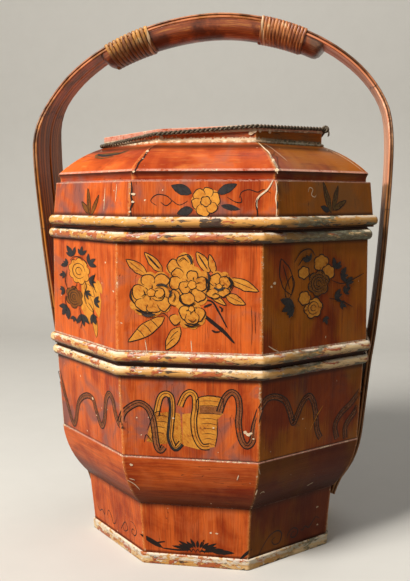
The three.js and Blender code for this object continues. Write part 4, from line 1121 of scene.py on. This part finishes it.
def laid_strands(route):
    """Strands laid round each other along a closed route."""
    closed = route + route[:1]
    lengths = running_lengths(closed)
    count = round(lengths[-1] / CORD_STEP)
    line = []
    for step in range(count):
        place, share = segment_at(lengths, lengths[-1] * step / count)
        line.append(closed[place].lerp(closed[place + 1], share))
    turns = round(lengths[-1] / CORD_TWIST)
    tubes = []
    for number in range(STRANDS):
        middles, outs = [], []
        for i, here in enumerate(line):
            along = (line[(i + 1) % count] - here).normalized()
            side = along.cross(UP).normalized()
            around = math.tau * (turns * i / count + number / STRANDS)
            outs.append(side * math.cos(around) + side.cross(along) * math.sin(around))
            middles.append(here + outs[-1] * STRAND_OFFSET)
        stations = [(middle, out, (after - middle).normalized().cross(out).normalized())
                    for middle, out, after in zip(middles, outs, middles[1:] + middles[:1])]
        tubes.append(drawn_through(stations, round_section(STRAND_THICKNESS, STRAND_SIDES), True))
    return tubes


cord_finish, cord_place = new_finish("twisted_cord_fibre")
cord_fibre = cord_place.noise(1.4, 4.0, 0.7)
cord_dirt = cord_place.noise(0.12, 3.0, 0.6)
cord_base = cord_fibre.rise(0.36, 0.66).between("1c1612", "7c6c56")
cord_base = ((cord_fibre + cord_dirt * 0.4).rise(0.76, 0.88) * 0.8).between(cord_base, "b9a98c")
dress(cord_finish, cord_base, 0.75 + cord_fibre * 0.2, cord_fibre, 0.35, 0.3)
cord_line = cord_route()
collar_rope = add_piece("collar_rope", *joined(laid_strands(cord_line)), cord_finish, "lid", "twisted_cord")
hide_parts("collar_cord")
KNOT_RADIUS = 2.5
KNOT_STEPS = 12
knot_out, knot_aside = directions((FRONT_RIGHT + 0.5) * SIDE_ANGLE + LID_TURN)
knot_place = max(cord_line, key=lambda place: place.dot(knot_out))
knot_tubes = []
for shift, tilt in ((-1.1, 0.35), (1.1, -0.25)):
    turn_stations = []
    for step in range(KNOT_STEPS):
        around = step * math.tau / KNOT_STEPS
        away = knot_out * math.cos(around) + UP * math.sin(around)
        aside = knot_aside * (shift + tilt * math.sin(around) * KNOT_RADIUS)
        turn_stations.append((knot_place + aside + away * KNOT_RADIUS, away, knot_aside))
    knot_tubes.append(drawn_through(turn_stations, round_section(STRAND_THICKNESS, STRAND_SIDES), True))
for number in range(5):
    spread, drop = (number - 2) * 0.9 + hand.uniform(-0.3, 0.3), hand.uniform(4.5, 7.0)
    frayed = []
    for share, bow in ((0.1, 0.0), (0.5, 0.8), (1.0, 0.5)):
        hang = knot_out * (KNOT_RADIUS + bow) + knot_aside * spread * share - UP * (drop * share)
        frayed.append((knot_place + hang, knot_out, knot_aside))
    knot_tubes.append(drawn_through(frayed, round_section(0.9, 5)))
add_piece("collar_rope_knot", *joined(knot_tubes), cord_finish, "lid", "twisted_cord")

# The handle's straps
# An outer and an inner layer of split bamboo, bent hot over the arch and pinned at the base.
# They are lacquered brown, the outer layer darker, and their long edges are rubbed to the pale fibre.
HANDLE_HUB = Vector((0.0, 0.0, 250.0))
LAYER_GAP = 0.15
STRAP_HALF = 2.35
STRAP_WIDTH = 42.0
LEG_WIDTH = 73.0
SWELL_FROM, SWELL_TO = 381.0, 439.0
HANDLE_RADIUS = 200.0
NODE_SPACING = 97.0
RING_SPREAD = 4.0


def handle_stations():
    """The handle's middle line and its outward directions, read from the outer strap's rings."""
    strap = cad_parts["handle_outer_strap"].data.vertices
    marks = [Vector((x, 0.0, z)) for x, z in {(round(v.co.x / MM, 2), round(v.co.z / MM, 2)) for v in strap}]
    marks.sort(key=lambda m: -((math.atan2(m.z - HANDLE_HUB.z, m.x) + math.pi / 2) % math.tau))
    rings = [[marks[0]]]
    for mark in marks[1:]:
        if (mark - rings[-1][0]).length < RING_SPREAD:
            rings[-1].append(mark)
        else:
            rings.append([mark])
    stations = []
    for ring in rings:
        ring.sort(key=lambda m: (m - HANDLE_HUB).length)
        out = (ring[-1] - ring[0]).normalized()
        stations.append((ring[0] - out * LAYER_GAP, out))
    return stations


HANDLE = handle_stations()
HANDLE_LENGTHS = running_lengths([place for place, _ in HANDLE])
past_top = next(i for i, (place, _) in enumerate(HANDLE) if place.x > 0)
left_x, right_x = HANDLE[past_top - 1][0].x, HANDLE[past_top][0].x
LENGTH_TO_TOP = HANDLE_LENGTHS[past_top - 1]
LENGTH_TO_TOP += -left_x / (right_x - left_x) * (HANDLE_LENGTHS[past_top] - LENGTH_TO_TOP)


def on_handle(length):
    """The middle line and its outward direction at a length from the arch's top, positive to the right."""
    ring, share = segment_at(HANDLE_LENGTHS, length + LENGTH_TO_TOP)
    (middle, out), (next_middle, next_out) = HANDLE[ring:ring + 2]
    return middle.lerp(next_middle, share), out.lerp(next_out, share).normalized()


def bamboo(name, dark, light, arch, peeled_and_lit_inside):
    """Lacquered split bamboo with fibres along the strap, worn on the arch, with painted light low on the
    right leg and on the peeled lacquer inside on the right.
    """
    finish, place = new_finish(name)
    x, y, height = place.split()
    run = (height - HANDLE_HUB.z).math("ARCTAN2", x) * HANDLE_RADIUS
    fibre = join(run * 0.012, y * 1.5, 4.0).noise(1.0, 4.0, 0.65)
    bands = join(run * 0.006, y * 0.22, 9.0).noise(1.0, 3.0, 0.55)
    wear = place.noise(0.05, 4.0, 0.65)
    base = bands.rise(0.4, 0.62).between(dark, light)
    base = (fibre.rise(0.5, 0.3) * 0.6).between(base, "24120b")
    half = LEG_WIDTH / 2 - height.rise(SWELL_FROM, SWELL_TO) * ((LEG_WIDTH - STRAP_WIDTH) / 2)
    edge = (half - y.math("ABSOLUTE")).rise(1.6, 0.2) * (wear + fibre * 0.5).rise(0.66, 0.85)
    edge = edge * (0.45 + height.rise(330.0, 400.0) * 0.55)
    streaky = 0.3 + bands.rise(0.45, 0.6) * 0.4
    # Painted light: low on the right leg the bamboo is painted lighter, in streaks
    faded = x.rise(60.0, 120.0) * streaky * (0.35 + height.rise(380.0, 240.0) * 0.95)
    base = faded.between(base, "a0744a")
    base = (edge * 0.6).between(base, "b9855c")
    rubbed = height.rise(400.0, 440.0) * wear.rise(0.36, 0.64) * arch
    base = rubbed.between(base, bands.rise(0.35, 0.6).between("a04a26", "d88450"))
    # Inside on the right, above the lid's walls, the lacquer is peeled to bright fibre and painted brighter
    # still, as light from the key lamp
    peeled_and_lit = x.rise(50.0, 84.0) * (height + wear * 8.0).rise(348.0, 352.0) * peeled_and_lit_inside
    base = peeled_and_lit.between(base, (bands * 0.6 + fibre * 0.4).rise(0.38, 0.6).between("c87044", "ffc49c"))
    nodes = (run / NODE_SPACING + wear * 0.3).math("FRACT").rise(0.975, 0.99)
    base = (nodes * 0.5).between(base, "2b160e")
    dress(finish, base, 0.34 + fibre * 0.3, fibre + nodes * 1.5 + wear * 0.4, 0.3, 0.28,
          coat=((1.0 - edge) * 0.1, 0.25))
    return finish


ease("handle_outer_strap", bamboo("outer_strap_bamboo", "4a2a12", "7c4e28", 0.55, 0.0), 0.0)
inner_bamboo = bamboo("inner_strap_bamboo", "66380a", "b26a1e", 0.85, 0.95)
ease("handle_inner_strap_front", inner_bamboo, 0.0)
ease("handle_inner_strap_back", inner_bamboo, 0.0)

# The grip
# A half-round piece of hardwood under the arch fills the hand, with rounded noses.
# Its lacquer is dark red-brown and polished by use, with golden glints painted on as highlights.
grip_finish, grip_place = new_finish("grip_lacquer")
grip_x, grip_y, grip_z = grip_place.split()
grip_grain = join(grip_x * 0.03, grip_y * 0.8, (grip_z + grip_x * grip_x * 0.0026) * 0.8).noise(1.0, 4.0, 0.6)
grip_wear = grip_place.noise(0.035, 4.0, 0.6)
grip_base = grip_wear.rise(0.4, 0.58).between("50200a", "964618")
grip_base = (grip_grain.rise(0.52, 0.34) * 0.55).between(grip_base, "301109")
# Painted highlights: golden glints where grain and wear line up
grip_painted_glints = grip_grain.rise(0.54, 0.66) * grip_wear.rise(0.48, 0.6)
grip_base = (grip_painted_glints * 0.6).between(grip_base, "cc8c3e")
grip_nose = (grip_x + grip_wear * 14.0).rise(96.0, 103.0)
grip_base = (grip_nose * 0.75).between(grip_base, grip_grain.rise(0.4, 0.6).between("30221a", "604c38"))
grip_base = (grip_x.rise(-106.0, -111.0) * 0.7).between(grip_base, "342014")
dress(grip_finish, grip_base, 0.26 + grip_wear * 0.25, grip_grain + grip_wear * 0.7, 0.35, 0.5,
      coat=(grip_wear.rise(0.35, 0.6) * 0.5, 0.18))
ease("handle_grip", grip_finish, 0.5)

# The lashings
# A split cane is wound tight round straps and grip near each nose, with its ends tucked in below.
# The cane is golden where it is rubbed and orange-brown where it keeps its lacquer.
ACROSS = Vector((0.0, 1.0, 0.0))
GRIP_DEPTH = 16.5
GRIP_END_DEPTH = 14.0
GRIP_REACH = 108.5
GRIP_MIDDLE = -3.5
CANE_THICKNESS = 1.2
CANE_SEAT = 0.25 + CANE_THICKNESS / 2
CANE_CORNER = 2.2
LEFT_WINDING = {"first": -111.5, "pitch": 4.2, "turns": 11, "cover": 0.82}
RIGHT_WINDING = {"first": 47.2, "pitch": 3.2, "turns": 14, "cover": 0.93}


def loop_outline(length):
    """One turn of cane across the handle: places across and outward, with their directions out."""
    share = min(1.0, abs(length - GRIP_MIDDLE) / GRIP_REACH)
    half = STRAP_WIDTH / 2 + CANE_SEAT
    depth = GRIP_DEPTH + (GRIP_END_DEPTH - GRIP_DEPTH) * share * share + CANE_SEAT
    top, waist = STRAP_HALF + CANE_SEAT, -STRAP_HALF - 0.3
    outline = []
    for i in range(13):
        a = math.radians(7.5 * i)
        outline.append((half * math.sin(a), waist - depth * math.cos(a),
                        math.sin(a), -math.cos(a) * half / depth))
    for i in range(5):
        a = math.radians(22.5 * i)
        outline.append((half - CANE_CORNER * (1 - math.cos(a)), top - CANE_CORNER * (1 - math.sin(a)),
                        math.cos(a), math.sin(a)))
    outline += [(across, top, 0.0, 1.0) for across in (12.0, 6.0, 0.0)]
    far_half = [(-across, up, -out_across, out_up) for across, up, out_across, out_up in outline[-2:0:-1]]
    return outline + far_half


def lashing(name, node, winding, finish):
    """One unbroken cane wound round the handle, each turn a little out of line, with its ends tucked in."""
    first, pitch, turns = winding["first"], winding["pitch"], winding["turns"]
    middles, outs = [], []
    for turn in range(turns):
        wander = hand.uniform(-0.05, 0.05) * pitch
        outline = loop_outline(first + turn * pitch)
        for step, (across, up, out_across, out_up) in enumerate(outline):
            share = step / len(outline)
            length = first + (turn + share) * pitch + wander * math.sin(share * math.pi)
            middle, out = on_handle(length)
            middles.append(middle + out * up + ACROSS * across)
            outs.append((out * out_up + ACROSS * out_across).normalized())
    start, end = ([middles[i] - outs[i] * depth + ACROSS * (aside * depth) for depth in (1.5, 4.0)]
                  for i, aside in ((0, -0.6), (-1, 0.6)))
    middles, outs = start[::-1] + middles + end, [-ACROSS] * 2 + outs + [ACROSS] * 2
    stations = []
    for i, (middle, out) in enumerate(zip(middles, outs)):
        along = middles[min(i + 1, len(middles) - 1)] - middles[max(i - 1, 0)]
        stations.append((middle, out, along.cross(out).normalized()))
    section = [(-0.5, -0.4), (-0.5, 0.0), (-0.38, 0.36), (0.0, 0.5), (0.38, 0.36), (0.5, 0.0), (0.5, -0.4),
               (0.0, -0.5)]
    section = [(wide * pitch * winding["cover"], thick * CANE_THICKNESS) for wide, thick in section]
    piece = add_piece(name, *drawn_through(stations, section), finish, "base", "lashing_cane")
    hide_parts(node)


def cane_finish(name, winding, gold, amber, pale_from, pale_to, shaded):
    """Split cane with painted shade on the turns' underside, and one or two pale turns."""
    finish, place = new_finish(name)
    x, y, height = place.split()
    fibre = join(x * 3.0, y * 0.12, height * 0.12).noise(1.0, 3.0, 0.6)
    turn_tint = join(x * 0.45, y * 0.02, height * 0.02).noise(1.0, 2.0, 0.5)
    worn = place.noise(0.09, 4.0, 0.65)
    base = (worn * 0.5 + turn_tint * 0.5).rise(0.42, 0.58).between(amber, gold)
    base = (fibre.rise(0.5, 0.28) * 0.5).between(base, "5e3015")
    base = (worn.rise(0.6, 0.68) * 0.6).between(base, "f0d39a")
    first, pitch, turns = winding["first"], winding["pitch"], winding["turns"]
    start, end = on_handle(first)[0], on_handle(first + turns * pitch)[0]
    below = (x - start.x) * ((end.z - start.z) / (end.x - start.x)) + start.z - height
    # Painted shade: the cane is darker the lower it lies below the winding's line
    base = (below.rise(0.0, 11.0) * shaded).between(base, fibre.rise(0.4, 0.6).between("34190a", "6e4018"))
    pale = x.rise(pale_from, pale_from + 0.8) * x.rise(pale_to, pale_to - 0.8)
    base = (pale * 0.6).between(base, "e2c79c")
    dress(finish, base, 0.38 + worn * 0.25, fibre + worn * 0.4, 0.2, 0.5, coat=(worn * 0.4, 0.25))
    return finish


golden_cane = cane_finish("golden_cane", LEFT_WINDING, "c88c3a", "7c4819", -64.5, -61.0, 0.75)
lashing("left_cane_lashing", "left_lashing", LEFT_WINDING, golden_cane)
amber_cane = cane_finish("amber_cane", RIGHT_WINDING, "c87c40", "80401a", 46.5, 49.5, 0.35)
lashing("right_cane_lashing", "right_lashing", RIGHT_WINDING, amber_cane)

# The pegs
# Small bamboo pegs with domed heads pin the straps to the foot and to the base's rim.
# They are driven in from outside and lacquered over.
PEG_RADIUS = 2.6
PEG_SPREAD = 21.0
PEG_SIDES = 14
FOOT_PEG_LEVEL = 51.0
RIM_PEG_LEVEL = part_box("base_rim_bead")[0].z / MM + 4.5
peg_finish, peg_place = new_finish("peg_bamboo")
peg_grain = peg_place.noise(0.9, 4.0, 0.6)
peg_base = peg_grain.rise(0.35, 0.65).between("4a2414", "9a6038")
dress(peg_finish, peg_base, 0.45 + peg_grain * 0.2, peg_grain, 0.2, 0.5)


def peg(name, centre, out):
    """A domed head on a short shank."""
    aside = out.cross(ACROSS).normalized()
    rings = []
    for share, height in ((0.72, -1.4), (0.8, 0.0), (1.0, 0.15), (0.97, 0.55), (0.74, 1.0), (0.4, 1.25)):
        rings.append([centre + out * height + ACROSS * wide + aside * deep
                      for wide, deep in round_section(2 * PEG_RADIUS * share, PEG_SIDES)])
    add_piece(name, *tube(rings), peg_finish, "base", "bamboo_strap")


for leg, sign in (("left", -1), ("right", 1)):
    leg_rings = [(place, out) for place, out in HANDLE if place.x * sign > 0]
    for level, tag in ((FOOT_PEG_LEVEL, "foot"), (RIM_PEG_LEVEL, "rim")):
        place, out = min(leg_rings, key=lambda ring: abs(ring[0].z - level))
        for edge, across in (("front", -PEG_SPREAD), ("back", PEG_SPREAD)):
            peg(f"{leg}_{tag}_peg_{edge}", place + out * STRAP_HALF + ACROSS * across, out)

# The stage
# A pale sweep of board, floor and back in one bend, carries the basket.
# It looks paler to the camera than it is, so that it throws less light on the lacquer.
SWEEP_HALF_WIDTH, SWEEP_FRONT, SWEEP_BACK, SWEEP_BEND, SWEEP_TOP = 3.0, -2.5, 1.6, 0.6, 2.6
sweep_line = [(SWEEP_FRONT, 0.0), (SWEEP_BACK - SWEEP_BEND, 0.0)]
sweep_line += [(SWEEP_BACK - SWEEP_BEND + SWEEP_BEND * math.sin(math.radians(a)),
                SWEEP_BEND - SWEEP_BEND * math.cos(math.radians(a))) for a in range(10, 91, 10)]
sweep_line.append((SWEEP_BACK, SWEEP_TOP))
sweep_mesh = bpy.data.meshes.new("sweep")
sweep_mesh.from_pydata([(x, y, z) for y, z in sweep_line for x in (-SWEEP_HALF_WIDTH, SWEEP_HALF_WIDTH)], [],
                       [[2 * i, 2 * i + 1, 2 * i + 3, 2 * i + 2] for i in range(len(sweep_line) - 1)])
sweep_mesh.shade_smooth()
sweep = bpy.data.objects.new("sweep", sweep_mesh)
bpy.context.scene.collection.objects.link(sweep)


def seen(tree):
    """1 where the camera looks, straight or by way of gloss or glass, and 0 for light that bounces."""
    ways = [Wire(tree, None).node("ShaderNodeLightPath", {}, {}, f"Is {way} Ray")
            for way in ("Camera", "Glossy", "Transmission")]
    return ways[0].math("MAXIMUM", ways[1]).math("MAXIMUM", ways[2])


sweep_finish, sweep_place = new_finish("sweep_paint")
sweep_grain = sweep_place.noise(0.02, 4.0, 0.6)
sweep_base = seen(sweep_finish.node_tree).between("85827b", sweep_grain.between("d2cfc7", "d9d6ce"))
dress(sweep_finish, sweep_base, 0.75 + sweep_grain * 0.1, sweep_grain, 0.05, 0.2)
sweep_mesh.materials.append(sweep_finish)

# The light and the camera
# Three soft square lamps light the basket from the front left, the right and above, in a pale room.
# The camera stands a little to the right of the front and looks slightly down.
LAMP_AIM = Vector((0.0, 0.0, 0.25))


def soft_lamp(name, azimuth, elevation, distance, size, power, warmth):
    """A square lamp that looks at the middle of the basket."""
    lamp = bpy.data.lights.new(name, "AREA")
    lamp.size = size
    lamp.energy = power
    lamp.color = warmth
    holder = bpy.data.objects.new(name, lamp)
    a, e = math.radians(azimuth), math.radians(elevation)
    back = Vector((math.sin(a) * math.cos(e), -math.cos(a) * math.cos(e), math.sin(e)))
    holder.location = LAMP_AIM + back * distance
    holder.rotation_euler = (-back).to_track_quat("-Z", "Y").to_euler()
    bpy.context.scene.collection.objects.link(holder)


soft_lamp("key", -34.0, 40.0, 2.2, 0.7, 74.0, (1.0, 0.97, 0.93))
soft_lamp("fill", 60.0, 25.0, 2.6, 1.6, 2.5, (1.0, 0.98, 0.95))
soft_lamp("top", 150.0, 60.0, 2.4, 1.4, 14.0, (1.0, 1.0, 1.0))
world = bpy.data.worlds.new("room")
world.use_nodes = True
room = Wire(world.node_tree, None)
dim, pale = (room.node("ShaderNodeBackground", {}, {"Color": (1.0, 0.98, 0.95, 1.0), "Strength": strength})
             for strength in (0.1, 0.45))
either = room.node("ShaderNodeMixShader", {}, {0: seen(world.node_tree), 1: dim, 2: pale})
world.node_tree.links.new(either.socket, world.node_tree.nodes["World Output"].inputs["Surface"])
bpy.context.scene.world = world
bpy.context.scene.view_settings.view_transform = "Standard"

camera = bpy.data.objects.new("camera", bpy.data.cameras.new("camera"))
camera.location = (0.1198, -0.7830, 0.3316)
camera.rotation_euler = (math.radians(83.38), 0.0, math.radians(9.455))
camera.data.lens = 48.34
camera.data.sensor_width = 36.0
bpy.context.scene.collection.objects.link(camera)
bpy.context.scene.camera = camera
